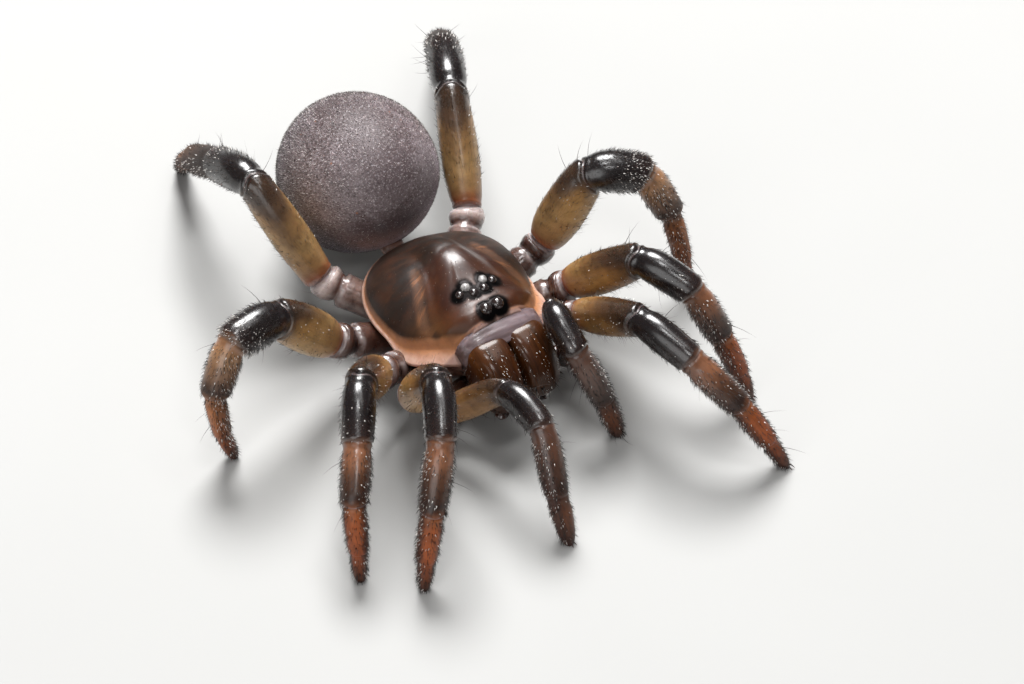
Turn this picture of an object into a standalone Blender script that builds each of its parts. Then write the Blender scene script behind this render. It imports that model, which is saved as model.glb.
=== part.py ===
"""Trapdoor spider, a still life-size model standing on all its feet.

The head points along -Y, the spider's left side is +X and the floor is z = 0. Sizes are in
millimetres here and become metres in the meshes.
"""
import math

import bmesh
import bpy
import numpy as np
from mathutils import Matrix, Vector

MM = 0.001
GAP = 0.3

# Limbs, from the trochanter outwards. Lengths in millimetres along each segment.
LEG_LENGTHS = {
    1: (4.7, 2.5, 2.7, 2.0, 1.5),
    2: (4.35, 2.35, 2.3, 1.95, 1.45),
    3: (3.9, 2.2, 2.2, 2.3, 1.6),
    4: (4.8, 2.6, 3.0, 2.85, 1.8),
}
PALP_LENGTHS = (3.8, 2.2, 2.65, 2.15)

# A limb's tip ends a little below the floor, before the foot is cut flat.
FOOT_DEPTH = -0.05
# How far before the hip a coxa turns upwards, and the gap it leaves to the femur.
COXA_TURN = 0.85
HIP_GAP = 0.38
# The share of a bend's radius that a knee's soft side may reach towards its centre.
SOFT_SIDE = 0.60

# Where each limb leaves its coxa and where the coxa leaves the sternum, on the left side.
HIPS = {
    0: (3.05, -4.2, 1.85),
    1: (3.85, -3.35, 2.6),
    2: (4.35, -1.95, 2.8),
    3: (4.85, 0.6, 2.7),
    4: (3.4, 3.75, 2.7),
}
COXA_ROOTS = {
    0: (1.08, -3.08, 1.46),
    1: (1.80, -2.24, 1.68),
    2: (2.14, -1.0, 1.66),
    3: (2.12, 0.35, 1.66),
    4: (1.62, 1.78, 1.66),
}

# Yaw (0 ahead, 90 straight out to the side) and pitch (up is positive) of each segment, in degrees.
LEG_POSES = {
    (4, -1): ((156, 45), (180, -26), (187, -37), (199, -46), (202, -52)),
    (3, -1): ((87, 49), (81, 1), (70, -61), (84, -98), (98, -107)),
    (2, -1): ((46, 41), (35, -27), (37, -36), (18, -73), (14, -83)),
    (1, -1): ((13, 52), (31, -19), (45, -51), (57, -74), (66, -84)),
    (1, 1): ((2, 38), (18, -16), (38, -43), (46, -57), (46, -60)),
    (2, 1): ((24, 44), (28, -19), (37, -60), (41, -66), (46, -73)),
    (3, 1): ((70, 65), (64, -13), (44, -61), (30, -75), (36, -84)),
    (4, 1): ((157, 40), (153, -7), (149, -41), (148, -46), (147, -56)),
}
PALP_POSES = {
    -1: ((-33, 42), (-2, -10), (12, -56), (-4, -68)),
    1: ((-82, 68), (-2, -25), (52, -66), (64, -74)),
}

# How far before and after each joint the centre line starts to round its corner.
LEG_TRIMS = ((0.8, 1.2), (0.55, 0.55), (0.45, 0.45), (0.3, 0.3))
PALP_TRIMS = ((1.1, 1.2), (0.45, 0.45), (0.3, 0.3))

# Half widths and half heights in millimetres: femur, patella, tibia, metatarsus, tarsus.
LEG_GIRTHS = {
    1: ((0.68, 0.82), (0.60, 0.68), (0.55, 0.58), (0.44, 0.45), (0.32, 0.33)),
    2: ((0.68, 0.86), (0.62, 0.68), (0.55, 0.58), (0.43, 0.44), (0.32, 0.33)),
    3: ((0.74, 0.92), (0.74, 0.80), (0.60, 0.62), (0.40, 0.40), (0.30, 0.30)),
    4: ((0.74, 1.04), (0.70, 0.75), (0.60, 0.63), (0.42, 0.43), (0.32, 0.32)),
}
PALP_GIRTHS = ((0.48, 0.60), (0.54, 0.60), (0.50, 0.52), (0.42, 0.42))
COXA_GIRTHS = {
    0: ((0.42, 0.46), (0.50, 0.52)),
    1: ((0.50, 0.62), (0.56, 0.62)),
    2: ((0.58, 0.66), (0.58, 0.64)),
    3: ((0.62, 0.66), (0.62, 0.68)),
    4: ((0.66, 0.68), (0.64, 0.68)),
}

# Prosoma
CARAPACE_FRONT = -3.4
CARAPACE_BACK = 3.35
CARAPACE_HALF_WIDTH = 3.15
CARAPACE_RIM_HEIGHT = 3.0
# The line of the carapace's back, from the clypeus over the head and the thorax to the waist
CARAPACE_RIDGE = (
    (-3.40, 4.58),
    (-3.05, 4.89),
    (-2.40, 4.96),
    (-1.60, 5.15),
    (-0.80, 5.46),
    (0.00, 5.50),
    (0.80, 5.26),
    (1.60, 4.76),
    (2.40, 4.06),
    (2.90, 3.50),
    (3.35, 2.90),
)
THORAX_DROP = 0.20
RIM_THICKNESS = 0.16
STERNUM_TOP = 2.5

# Abdomen: a globe that is a little longer than wide
ABDOMEN_CENTRE = (0.15, 6.53, 3.98)
ABDOMEN_HALF = (3.16, 3.3, 3.3)
# Its front end stands this much higher, clear of the carapace
ABDOMEN_FRONT_LIFT = 0.42
SPINNERET_GAP = 0.16

EYES = {
    "front": (0.26, -3.00, 0.235),
    "middle": (0.23, -2.14, 0.165),
    "rear": (0.385, -1.79, 0.155),
    "side": (0.735, -1.93, 0.16),
}

# An eye is a dome, this many times as high as half its width, held just clear of the head.
EYE_RISE = 0.85
EYE_GAP = 0.03

FANG_RINGS = 9
FANG_REACH = 0.95

COLOURS = {
    "carapace": ((0.060, 0.022, 0.012), 0.18),
    "sternum": ((0.180, 0.080, 0.045), 0.35),
    "pedicel": ((0.240, 0.120, 0.090), 0.45),
    "abdomen": ((0.075, 0.055, 0.055), 0.60),
    "spinneret": ((0.160, 0.100, 0.080), 0.50),
    "chelicera": ((0.080, 0.020, 0.010), 0.20),
    "fang": ((0.020, 0.006, 0.004), 0.15),
    "eye": ((0.004, 0.004, 0.006), 0.05),
    "coxa": ((0.260, 0.120, 0.085), 0.30),
    "femur": ((0.130, 0.075, 0.035), 0.30),
    "tibia": ((0.022, 0.013, 0.011), 0.22),
    "foot": ((0.150, 0.045, 0.022), 0.40),
}


def cleared_scene():
    for scene_object in list(bpy.data.objects):
        bpy.data.objects.remove(scene_object, do_unlink=True)
    collection = bpy.data.collections.new("trapdoor_spider")
    bpy.context.scene.collection.children.link(collection)
    return collection


SPIDER = cleared_scene()


def add_object(name, shape, finish, smooth=35):
    """Turn a bmesh in millimetres into an object in metres with its own material."""
    bmesh.ops.scale(shape, vec=(MM, MM, MM), verts=shape.verts)
    bmesh.ops.recalc_face_normals(shape, faces=shape.faces)
    mesh = bpy.data.meshes.new(name)
    shape.to_mesh(mesh)
    shape.free()
    mesh.shade_smooth()
    mesh.set_sharp_from_angle(angle=math.radians(smooth))
    colour, roughness = COLOURS[finish]
    material = bpy.data.materials.new(name + "_finish")
    material.use_nodes = True
    shader = material.node_tree.nodes["Principled BSDF"]
    shader.inputs["Base Color"].default_value = (*colour, 1)
    shader.inputs["Roughness"].default_value = roughness
    shader.inputs["Metallic"].default_value = 0
    mesh.materials.append(material)
    placed = bpy.data.objects.new(name, mesh)
    SPIDER.objects.link(placed)
    return placed


def unit(vector):
    return vector / np.linalg.norm(vector)


def ring_loft(rings):
    """Close a skin over rings of points, each ring given as an array of the same count."""
    shape = bmesh.new()
    loops = [[shape.verts.new(point) for point in ring] for ring in rings]
    count = len(loops[0])
    for near, far in zip(loops[:-1], loops[1:]):
        for i in range(count):
            j = (i + 1) % count
            shape.faces.new((near[i], near[j], far[j], far[i]))
    shape.faces.new(loops[0][::-1])
    shape.faces.new(loops[-1])
    return shape


def oval(centre, across, upward, half_width, half_height, sides, squareness=2.0):
    """One ring of points: an oval, or a rounder square when squareness is above 2."""
    points = []
    for i in range(sides):
        angle = 2 * math.pi * (i + 0.5) / sides
        c = math.cos(angle)
        s = math.sin(angle)
        stretch = (abs(c) ** squareness + abs(s) ** squareness) ** (-1 / squareness)
        points.append(centre + across * (half_width * c * stretch) + upward * (half_height * s * stretch))
    return points


class Limb:
    """A limb's centre line: straight segments whose corners are rounded."""

    def __init__(self, hip, lengths, pose, side, trims):
        self.side = side
        self.lengths = lengths
        self.trims = trims
        lift = self.lift_to_floor(hip, lengths, pose)
        self.joints = self.chain(hip, lengths, pose, lift)
        self.directions = [unit(b - a) for a, b in zip(self.joints[:-1], self.joints[1:])]
        normal = np.cross(self.directions[0], self.directions[-1] + self.directions[-2])
        self.across = unit(normal)

    def chain(self, hip, lengths, pose, lift):
        joints = [np.array((hip[0] * self.side, hip[1], hip[2]))]
        for i, (length, (yaw, pitch)) in enumerate(zip(lengths, pose)):
            a = math.radians(yaw)
            p = math.radians(pitch + (lift if i == 0 else 0))
            step = (self.side * math.sin(a) * math.cos(p), -math.cos(a) * math.cos(p), math.sin(p))
            joints.append(joints[-1] + length * np.array(step))
        return joints

    def lift_to_floor(self, hip, lengths, pose):
        """The small change of the femur's pitch that puts the limb's tip on the floor."""
        low, high = -25.0, 25.0
        for _ in range(40):
            middle = (low + high) / 2
            if self.chain(hip, lengths, pose, middle)[-1][2] > FOOT_DEPTH:
                high = middle
            else:
                low = middle
        return (low + high) / 2

    def at(self, segment, distance):
        """Centre and tangent at a distance from the segment's start, rounded near its ends."""
        start = self.joints[segment]
        length = self.lengths[segment]
        if segment > 0 and distance < self.trims[segment - 1][1]:
            return self.corner(segment, distance)
        if segment < len(self.lengths) - 1 and distance > length - self.trims[segment][0]:
            return self.corner(segment + 1, distance - length)
        return start + self.directions[segment] * distance, self.directions[segment]

    def corner(self, joint, offset):
        before, after = self.trims[joint - 1]
        a = self.joints[joint] - self.directions[joint - 1] * before
        b = self.joints[joint]
        c = self.joints[joint] + self.directions[joint] * after
        u = (offset + before) / (before + after)
        point = (1 - u) ** 2 * a + 2 * u * (1 - u) * b + u * u * c
        tangent = (1 - u) * (b - a) + u * (c - b)
        return point, unit(tangent)

    def ring(self, segment, distance, half_width, half_height, sides, tangent=None):
        centre, own_tangent = self.at(segment, distance)
        tangent = own_tangent if tangent is None else tangent
        across = unit(self.across - tangent * np.dot(self.across, tangent))
        upward = np.cross(tangent, across)
        points = oval(centre, across, upward, half_width, half_height, sides)
        inner, radius = self.bend(segment, distance)
        return [self.drawn_in(point, centre, inner, SOFT_SIDE * radius) for point in points]

    def bend(self, segment, distance):
        """Towards which side the centre line turns, and how wide the turn's circle is."""
        start, turn = self.at(segment, max(distance - 0.1, 0.0))
        end, next_turn = self.at(segment, min(distance + 0.1, self.lengths[segment]))
        swing = math.acos(min(1.0, float(np.dot(turn, next_turn))))
        if swing < 0.01:
            return turn, 1000.0
        return unit(next_turn - turn), float(np.linalg.norm(end - start)) / swing

    def drawn_in(self, point, centre, inner, limit):
        """The soft side of a knee stays clear of the turn's own centre."""
        inward = float(np.dot(point - centre, inner))
        return point - inner * max(0.0, inward - limit) * 0.9

    def turn_from(self, root):
        """Remember the plane between coxa and femur, and where the coxa has to turn."""
        start = np.array((root[0] * self.side, root[1], root[2]))
        outward = unit(self.joints[0] - start)
        rising = unit(outward + self.directions[0] * 0.6)
        self.coxa_start = start
        self.coxa_turn = self.joints[0] - rising * COXA_TURN
        self.hip_face = unit(rising + self.directions[0])

    def leaving_coxa(self, distance):
        """The tangent swings from the hip's face to the femur's own over its first part."""
        own = self.at(0, distance)[1]
        share = smooth_step(distance / 1.1)
        return unit(self.hip_face * (1 - share) + own * share)


# Girth along each segment: share of the length, share of the full girth.
FEMUR_GIRTH = (
    (0.0, 0.62),
    (0.07, 0.76),
    (0.16, 0.88),
    (0.32, 0.98),
    (0.52, 1.0),
    (0.70, 0.95),
    (0.84, 0.88),
    (0.93, 0.84),
    (1.0, 0.74),
)
PATELLA_GIRTH = ((0.0, 0.78), (0.07, 0.94), (0.18, 1.0), (0.32, 1.04), (0.50, 1.04), (0.72, 1.0), (0.90, 0.95))
TIBIA_GIRTH = ((0.04, 0.94), (0.20, 1.0), (0.45, 1.02), (0.70, 0.97), (0.90, 0.90), (1.0, 0.78))
COXA_GIRTH = (
    (0.0, 0.80),
    (0.12, 0.96),
    (0.38, 1.0),
    (0.58, 0.92),
    (0.68, 0.92),
    (0.80, 1.0),
    (0.92, 0.96),
    (1.0, 0.80),
)
METATARSUS_GIRTH = ((0.0, 0.82), (0.10, 0.98), (0.30, 1.02), (0.65, 0.94), (0.92, 0.84))
TARSUS_GIRTH = ((0.12, 1.0), (0.45, 1.0), (0.75, 0.84), (0.92, 0.66), (1.0, 0.50))


def segment_rings(limb, segment, profile, girth, sides, cut_start, cut_end):
    """Rings along one segment, drawn back from its joints by half the gap where it is cut."""
    length = limb.lengths[segment]
    start = (HIP_GAP if segment == 0 else GAP) / 2 if cut_start else 0.0
    end = length - (GAP / 2 if cut_end else 0.0)
    rings = []
    for share, scale in profile:
        distance = start + (end - start) * share
        tangent = None
        if segment == 0:
            tangent = limb.leaving_coxa(distance)
        if share == 0.0 and cut_start and segment > 0:
            tangent = limb.corner(segment, 0.0)[1]
        if share == 1.0 and cut_end:
            tangent = limb.corner(segment + 1, 0.0)[1]
        rings.append(limb.ring(segment, distance, girth[0] * scale, girth[1] * scale, sides, tangent))
    return rings


def stand_flat(shape):
    """Cut a foot level with the floor, so that it stands on a small flat."""
    everything = shape.verts[:] + shape.edges[:] + shape.faces[:]
    bmesh.ops.bisect_plane(shape, geom=everything, plane_co=(0, 0, 0), plane_no=(0, 0, 1), clear_inner=True)
    open_edges = [edge for edge in shape.edges if edge.is_boundary]
    bmesh.ops.contextual_create(shape, geom=open_edges)
    return shape


def add_coxa(name, limb, girths, sides=12):
    """The coxa and trochanter: from the sternum's side out and up to the femur."""
    start = limb.coxa_start
    turn = limb.coxa_turn
    end = limb.joints[0] - limb.hip_face * (HIP_GAP / 2)
    upward = np.array((0.0, 0.0, 1.0))
    inner, outer = girths
    rings = []
    for share, scale in COXA_GIRTH:
        centre = (1 - share) ** 2 * start + 2 * share * (1 - share) * turn + share ** 2 * end
        tangent = unit((1 - share) * (turn - start) + share * (end - turn))
        if share == 1.0:
            tangent = limb.hip_face
        across = unit(np.cross(upward, tangent))
        lift = np.cross(tangent, across)
        width = (inner[0] * (1 - share) + outer[0] * share) * scale
        height = (inner[1] * (1 - share) + outer[1] * share) * scale
        rings.append(oval(centre, across, lift, width, height, sides))
    return add_object(name, ring_loft(rings), "coxa")


def add_leg(number, side):
    prefix = "leg%d_%s" % (number, "left" if side > 0 else "right")
    pose = LEG_POSES[number, side]
    limb = Limb(HIPS[number], LEG_LENGTHS[number], pose, side, LEG_TRIMS)
    limb.turn_from(COXA_ROOTS[number])
    femur, patella, tibia, metatarsus, tarsus = LEG_GIRTHS[number]
    add_coxa(prefix + "_coxa", limb, COXA_GIRTHS[number])
    rings = segment_rings(limb, 0, FEMUR_GIRTH, femur, 14, True, True)
    add_object(prefix + "_femur", ring_loft(rings), "femur")
    rings = segment_rings(limb, 1, PATELLA_GIRTH, patella, 14, True, False)
    rings += segment_rings(limb, 2, TIBIA_GIRTH, tibia, 14, False, True)
    add_object(prefix + "_tibia", ring_loft(rings), "tibia")
    rings = segment_rings(limb, 3, METATARSUS_GIRTH, metatarsus, 12, True, False)
    rings += segment_rings(limb, 4, TARSUS_GIRTH, tarsus, 12, False, False)
    add_object(prefix + "_foot", stand_flat(ring_loft(rings)), "foot")


def add_palp(side):
    prefix = "palp_" + ("left" if side > 0 else "right")
    limb = Limb(HIPS[0], PALP_LENGTHS, PALP_POSES[side], side, PALP_TRIMS)
    limb.turn_from(COXA_ROOTS[0])
    femur, patella, tibia, tarsus = PALP_GIRTHS
    add_coxa(prefix + "_coxa", limb, COXA_GIRTHS[0])
    rings = segment_rings(limb, 0, FEMUR_GIRTH, femur, 12, True, True)
    add_object(prefix + "_femur", ring_loft(rings), "femur")
    rings = segment_rings(limb, 1, PATELLA_GIRTH, patella, 12, True, False)
    rings += segment_rings(limb, 2, TIBIA_GIRTH, tibia, 12, False, True)
    add_object(prefix + "_tibia", ring_loft(rings), "tibia")
    profile = ((0.0, 0.86),) + TARSUS_GIRTH
    rings = segment_rings(limb, 3, profile, tarsus, 12, True, False)
    add_object(prefix + "_foot", stand_flat(ring_loft(rings)), "foot")


def smooth_step(value):
    value = min(max(value, 0.0), 1.0)
    return value * value * (3 - 2 * value)


def rim_half_width(y):
    """Half width of the carapace at its rim: an oval whose front is cut off at the clypeus."""
    middle = -0.05
    reach = 3.42 if y > middle else 3.95
    oval_width = CARAPACE_HALF_WIDTH * math.sqrt(max(0.0, 1 - abs((y - middle) / reach) ** 2.15))
    return oval_width


def rim_height(y):
    """The rim climbs towards the clypeus and dips a little at the back."""
    front = smooth_step((-1.2 - y) / (-1.2 - CARAPACE_FRONT))
    back = smooth_step((y - 1.6) / (CARAPACE_BACK - 1.6))
    return CARAPACE_RIM_HEIGHT + 0.85 * front - 0.12 * back


def carapace_ridge(y):
    """Height of the carapace on its middle line, a smooth curve through the ridge's stations."""
    count = len(CARAPACE_RIDGE)
    at = 1
    while at < count - 1 and y > CARAPACE_RIDGE[at][0]:
        at += 1
    (y0, z0), (y1, z1) = CARAPACE_RIDGE[at - 1], CARAPACE_RIDGE[at]
    before = CARAPACE_RIDGE[max(at - 2, 0)]
    after = CARAPACE_RIDGE[min(at + 1, count - 1)]
    slope_in = (z1 - before[1]) / (y1 - before[0]) * (y1 - y0)
    slope_out = (after[1] - z0) / (after[0] - y0) * (y1 - y0)
    t = min(max((y - y0) / (y1 - y0), 0.0), 1.0)
    start = (2 * t ** 3 - 3 * t ** 2 + 1) * z0 + (t ** 3 - 2 * t ** 2 + t) * slope_in
    return start + (3 * t ** 2 - 2 * t ** 3) * z1 + (t ** 3 - t ** 2) * slope_out


def carapace_height(x, y):
    """Height of the carapace's surface: a low dome with the raised head on it."""
    half = max(rim_half_width(y), 0.05)
    rim = rim_height(y)
    ridge = max(carapace_ridge(y), rim)
    inward = math.sqrt(max(0.0, 1 - min(1.0, abs(x) / half) ** 2.1))
    dome = rim + (ridge - rim) * (1 - THORAX_DROP) * inward
    head_half = min(half, 2.25 - 1.0 * smooth_step((y + 2.4) / 3.1))
    head_side = math.sqrt(max(0.0, 1 - min(1.0, abs(x) / head_half) ** 2.3))
    head = rim + (ridge - rim) * head_side * (1 - 0.5 * THORAX_DROP * smooth_step((y - 0.6) / 1.4))
    blend = 0.09
    highest = max(dome, head)
    return highest + blend * math.log(math.exp((dome - highest) / blend) + math.exp((head - highest) / blend)) * inward


def add_carapace(columns=22, rows=26):
    shape = bmesh.new()
    top = []
    bottom = []
    for i in range(rows + 1):
        share = i / rows
        y = CARAPACE_FRONT + (CARAPACE_BACK - CARAPACE_FRONT) * (0.5 - 0.5 * math.cos(math.pi * share)) * 0.35
        y += (CARAPACE_BACK - CARAPACE_FRONT) * share * 0.65
        half = rim_half_width(y)
        top_row = []
        bottom_row = []
        for j in range(columns + 1):
            x = half * math.sin(math.pi * (j / columns - 0.5))
            height = rim_height(y) if j in (0, columns) else carapace_height(x, y)
            top_row.append(shape.verts.new((x, y, height)))
            floor = rim_height(y) - RIM_THICKNESS
            bottom_row.append(shape.verts.new((x * 0.985, y, floor)))
        top.append(top_row)
        bottom.append(bottom_row)
    for i in range(rows):
        for j in range(columns):
            shape.faces.new((top[i][j], top[i][j + 1], top[i + 1][j + 1], top[i + 1][j]))
            shape.faces.new((bottom[i][j], bottom[i + 1][j], bottom[i + 1][j + 1], bottom[i][j + 1]))
    for i in range(rows):
        shape.faces.new((top[i][0], top[i + 1][0], bottom[i + 1][0], bottom[i][0]))
        shape.faces.new((top[i + 1][columns], top[i][columns], bottom[i][columns], bottom[i + 1][columns]))
    for j in range(columns):
        shape.faces.new((top[0][j + 1], top[0][j], bottom[0][j], bottom[0][j + 1]))
        shape.faces.new((top[rows][j], top[rows][j + 1], bottom[rows][j + 1], bottom[rows][j]))
    add_object("carapace", shape, "carapace", 50)


def add_sternum():
    """The plate between the coxae with the small labium at its front."""
    stations = (
        (-3.10, 0.30, 1.45, 2.05),
        (-3.02, 0.50, 1.30, 2.30),
        (-2.72, 0.66, 1.18, STERNUM_TOP - 0.05),
        (-2.50, 1.05, 1.10, STERNUM_TOP),
        (-2.00, 1.46, 1.02, STERNUM_TOP),
        (-1.00, 1.82, 0.96, STERNUM_TOP),
        (0.00, 1.86, 0.94, STERNUM_TOP),
        (1.00, 1.58, 0.98, STERNUM_TOP),
        (1.75, 1.10, 1.08, STERNUM_TOP),
        (2.20, 0.66, 1.30, STERNUM_TOP - 0.10),
        (2.35, 0.34, 1.55, STERNUM_TOP - 0.30),
    )
    rings = []
    across = np.array((1.0, 0.0, 0.0))
    upward = np.array((0.0, 0.0, 1.0))
    for y, half_width, low, high in stations:
        centre = np.array((0.0, y, (low + high) / 2))
        rings.append(oval(centre, across, upward, half_width, (high - low) / 2, 20, 3.0))
    add_object("sternum", ring_loft(rings), "sternum")


def add_pedicel():
    """The short waist between the sternum and the abdomen."""
    start = np.array((0.0, 2.62, 1.95))
    end = np.array((0.03, 3.52, 2.16))
    along = unit(end - start)
    across = np.array((1.0, 0.0, 0.0))
    upward = np.cross(across, along)
    rings = []
    for share, scale in ((0.0, 0.85), (0.15, 1.0), (0.5, 0.9), (0.85, 1.05), (1.0, 0.9)):
        rings.append(oval(start + (end - start) * share, across, upward, 0.52 * scale, 0.30 * scale, 14))
    add_object("pedicel", ring_loft(rings), "pedicel")


def add_abdomen():
    """A globe, drawn out a little towards the waist and the spinnerets."""
    shape = bmesh.new()
    bmesh.ops.create_uvsphere(shape, u_segments=30, v_segments=20, radius=1.0)
    bmesh.ops.rotate(shape, verts=shape.verts, cent=(0, 0, 0), matrix=Matrix.Rotation(math.pi / 2, 3, "X"))
    for vertex in shape.verts:
        x, y, z = vertex.co
        narrow = 1 - 0.05 * smooth_step(y)
        low = -0.10 * max(0.0, -z) ** 2 * (1 - y * y)
        vertex.co = Vector((
            ABDOMEN_CENTRE[0] + ABDOMEN_HALF[0] * x * narrow,
            ABDOMEN_CENTRE[1] + ABDOMEN_HALF[1] * y,
            ABDOMEN_CENTRE[2] + ABDOMEN_HALF[2] * (z - low * 0.5) + ABDOMEN_FRONT_LIFT * smooth_step(-y),
        ))
    add_object("abdomen", shape, "abdomen", 60)


def add_spinneret(side):
    name = "spinneret_" + ("left" if side > 0 else "right")
    along = unit(np.array((0.16 * side, 0.82, -0.55)))
    start = np.array(ABDOMEN_CENTRE) + np.array((0.10 * side, 0, 0)) + along * (ABDOMEN_HALF[1] + SPINNERET_GAP)
    across = unit(np.cross(along, np.array((0.0, 0.0, 1.0))))
    upward = np.cross(across, along)
    rings = []
    profile = ((0.0, 0.24), (0.08, 0.31), (0.36, 0.30), (0.42, 0.27), (0.68, 0.25), (0.74, 0.21), (0.92, 0.17), (1.0, 0.10))
    for share, radius in profile:
        rings.append(oval(start + along * (1.15 * share), across, upward, radius, radius, 10))
    add_object(name, ring_loft(rings), "spinneret")


def add_chelicera(side):
    """A deep, arched jaw that leaves the clypeus forwards and bends down to the fang."""
    name = "chelicera_" + ("left" if side > 0 else "right")
    stations = (
        (-3.70, 3.38, 0.0, 0.70, 1.08),
        (-3.82, 3.37, -4.0, 0.79, 1.19),
        (-4.12, 3.22, -14.0, 0.82, 1.15),
        (-4.48, 2.98, -27.0, 0.82, 1.05),
        (-4.78, 2.68, -42.0, 0.80, 0.93),
        (-4.97, 2.36, -56.0, 0.75, 0.81),
        (-5.05, 2.06, -68.0, 0.66, 0.67),
        (-5.07, 1.84, -78.0, 0.52, 0.52),
        (-5.07, 1.70, -84.0, 0.36, 0.36),
    )
    rings = []
    for y, z, pitch, half_width, half_height in stations:
        p = math.radians(pitch)
        upward = np.array((0.0, -math.sin(-p), math.cos(p)))
        across = np.array((1.0, 0.0, 0.0))
        centre = np.array((0.9 * side, y, z))
        rings.append(oval(centre, across, upward, half_width, half_height, 18, 2.3))
    add_object(name, ring_loft(rings), "chelicera", 50)


def add_fang(side):
    """A fang folded back below its jaw: it starts under the jaw's end and curves to a point."""
    name = "fang_" + ("left" if side > 0 else "right")
    points = []
    for i in range(FANG_RINGS):
        share = i / (FANG_RINGS - 1)
        swing = math.radians(5 + 95 * share)
        drop = FANG_REACH * (0.30 * math.sin(swing) + 0.10 * share)
        back = FANG_REACH * (1 - math.cos(swing))
        points.append(np.array(((0.9 - 0.12 * share) * side, -5.07 + back, 1.44 - drop)))
    rings = []
    for i, centre in enumerate(points):
        before = points[max(i - 1, 0)]
        after = points[min(i + 1, FANG_RINGS - 1)]
        along = unit(after - before) if i > 0 else np.array((0.0, 0.0, -1.0))
        across = np.array((1.0, 0.0, 0.0))
        upward = np.cross(across, along)
        radius = 0.26 * (1 - (i / (FANG_RINGS - 1)) ** 1.4) + 0.035
        rings.append(oval(centre, across, upward, radius, radius * 1.1, 10))
    add_object(name, ring_loft(rings), "fang")


def add_eye(kind, side):
    name = "eye_%s_%s" % (kind, "left" if side > 0 else "right")
    x, y, radius = EYES[kind]
    x *= side
    step = 0.02
    height = carapace_height(x, y)
    slope_x = (carapace_height(x + step, y) - carapace_height(x - step, y)) / (2 * step)
    slope_y = (carapace_height(x, y + step) - carapace_height(x, y - step)) / (2 * step)
    out = unit(np.array((-slope_x, -slope_y, 1.0)))
    across = unit(np.cross(out, np.array((0.0, 1.0, 0.0))))
    upward = np.cross(out, across)
    base = np.array((x, y, height)) + out * EYE_GAP
    rings = []
    for angle in (0, 18, 38, 58, 76):
        a = math.radians(angle)
        width = radius * math.cos(a)
        rings.append(oval(base + out * (radius * EYE_RISE * math.sin(a)), across, upward, width, width, 14))
    add_object(name, ring_loft(rings), "eye", 60)


def rest_on_middle():
    """Move everything so that the origin is the middle of the box's underside."""
    corners = []
    for placed in SPIDER.objects:
        corners += [vertex.co for vertex in placed.data.vertices]
    centre_x = (min(c.x for c in corners) + max(c.x for c in corners)) / 2
    centre_y = (min(c.y for c in corners) + max(c.y for c in corners)) / 2
    for placed in SPIDER.objects:
        placed.location = (-centre_x, -centre_y, 0)


add_carapace()
add_sternum()
add_pedicel()
add_abdomen()
for body_side in (1, -1):
    add_spinneret(body_side)
    add_chelicera(body_side)
    add_fang(body_side)
    add_palp(body_side)
    for eye_kind in EYES:
        add_eye(eye_kind, body_side)
    for leg_number in (1, 2, 3, 4):
        add_leg(leg_number, body_side)
rest_on_middle()
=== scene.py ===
import math
import bmesh
import bpy
import numpy as np
from mathutils import Matrix, Vector


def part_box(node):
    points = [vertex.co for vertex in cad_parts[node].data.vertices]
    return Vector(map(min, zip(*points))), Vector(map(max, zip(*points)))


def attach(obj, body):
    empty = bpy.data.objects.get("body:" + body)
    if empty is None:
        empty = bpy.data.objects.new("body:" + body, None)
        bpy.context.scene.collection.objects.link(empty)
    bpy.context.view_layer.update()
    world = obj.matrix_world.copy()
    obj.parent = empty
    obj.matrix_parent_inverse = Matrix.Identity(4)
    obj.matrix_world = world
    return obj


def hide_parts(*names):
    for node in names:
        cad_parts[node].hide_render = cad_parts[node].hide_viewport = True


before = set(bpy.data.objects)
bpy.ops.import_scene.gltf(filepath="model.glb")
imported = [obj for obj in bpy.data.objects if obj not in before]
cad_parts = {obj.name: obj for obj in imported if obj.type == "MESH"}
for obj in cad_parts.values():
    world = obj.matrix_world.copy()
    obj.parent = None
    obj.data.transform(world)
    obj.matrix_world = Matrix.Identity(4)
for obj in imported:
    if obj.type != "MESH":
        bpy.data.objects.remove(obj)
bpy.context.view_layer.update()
print("frame loaded:", len(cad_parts), "nodes")

# Everything below is in millimetres from the spider's own middle: head towards -Y, left side +X, floor z = 0.
mm = 0.001
perMetre = 1000.0
middleBack = 0.025  # how far the middle lies behind the shield's own
shieldLow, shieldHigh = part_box("carapace")
middle = (np.array(shieldLow) + np.array(shieldHigh)) / 2 + (0.0, middleBack * mm, 0.0)
middle[2] = 0.0


# Small helpers for numbers.
def unit(vector):
    vector = np.asarray(vector, float)
    return vector / np.linalg.norm(vector)


def smoothStep(value):
    value = np.clip(value, 0.0, 1.0)
    return value * value * (3 - 2 * value)


def rise(value, start, width):
    # 0 up to start and 1 from a width after it
    return smoothStep((value - start) / width)


def bell(value, width):
    return np.exp(-(value / width) ** 2)


def smoothCurve(stations, x):
    # a smooth line through (place, value) stations
    xs, ys = np.array(stations, float).T
    slopes = np.gradient(ys, xs)
    x = np.clip(x, xs[0], xs[-1])
    k = np.clip(np.searchsorted(xs, x) - 1, 0, len(xs) - 2)
    wide = xs[k + 1] - xs[k]
    t = (x - xs[k]) / wide
    start = (2 * t ** 3 - 3 * t ** 2 + 1) * ys[k] + (t ** 3 - 2 * t ** 2 + t) * wide * slopes[k]
    return start + (3 * t ** 2 - 2 * t ** 3) * ys[k + 1] + (t ** 3 - t ** 2) * wide * slopes[k + 1]


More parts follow.
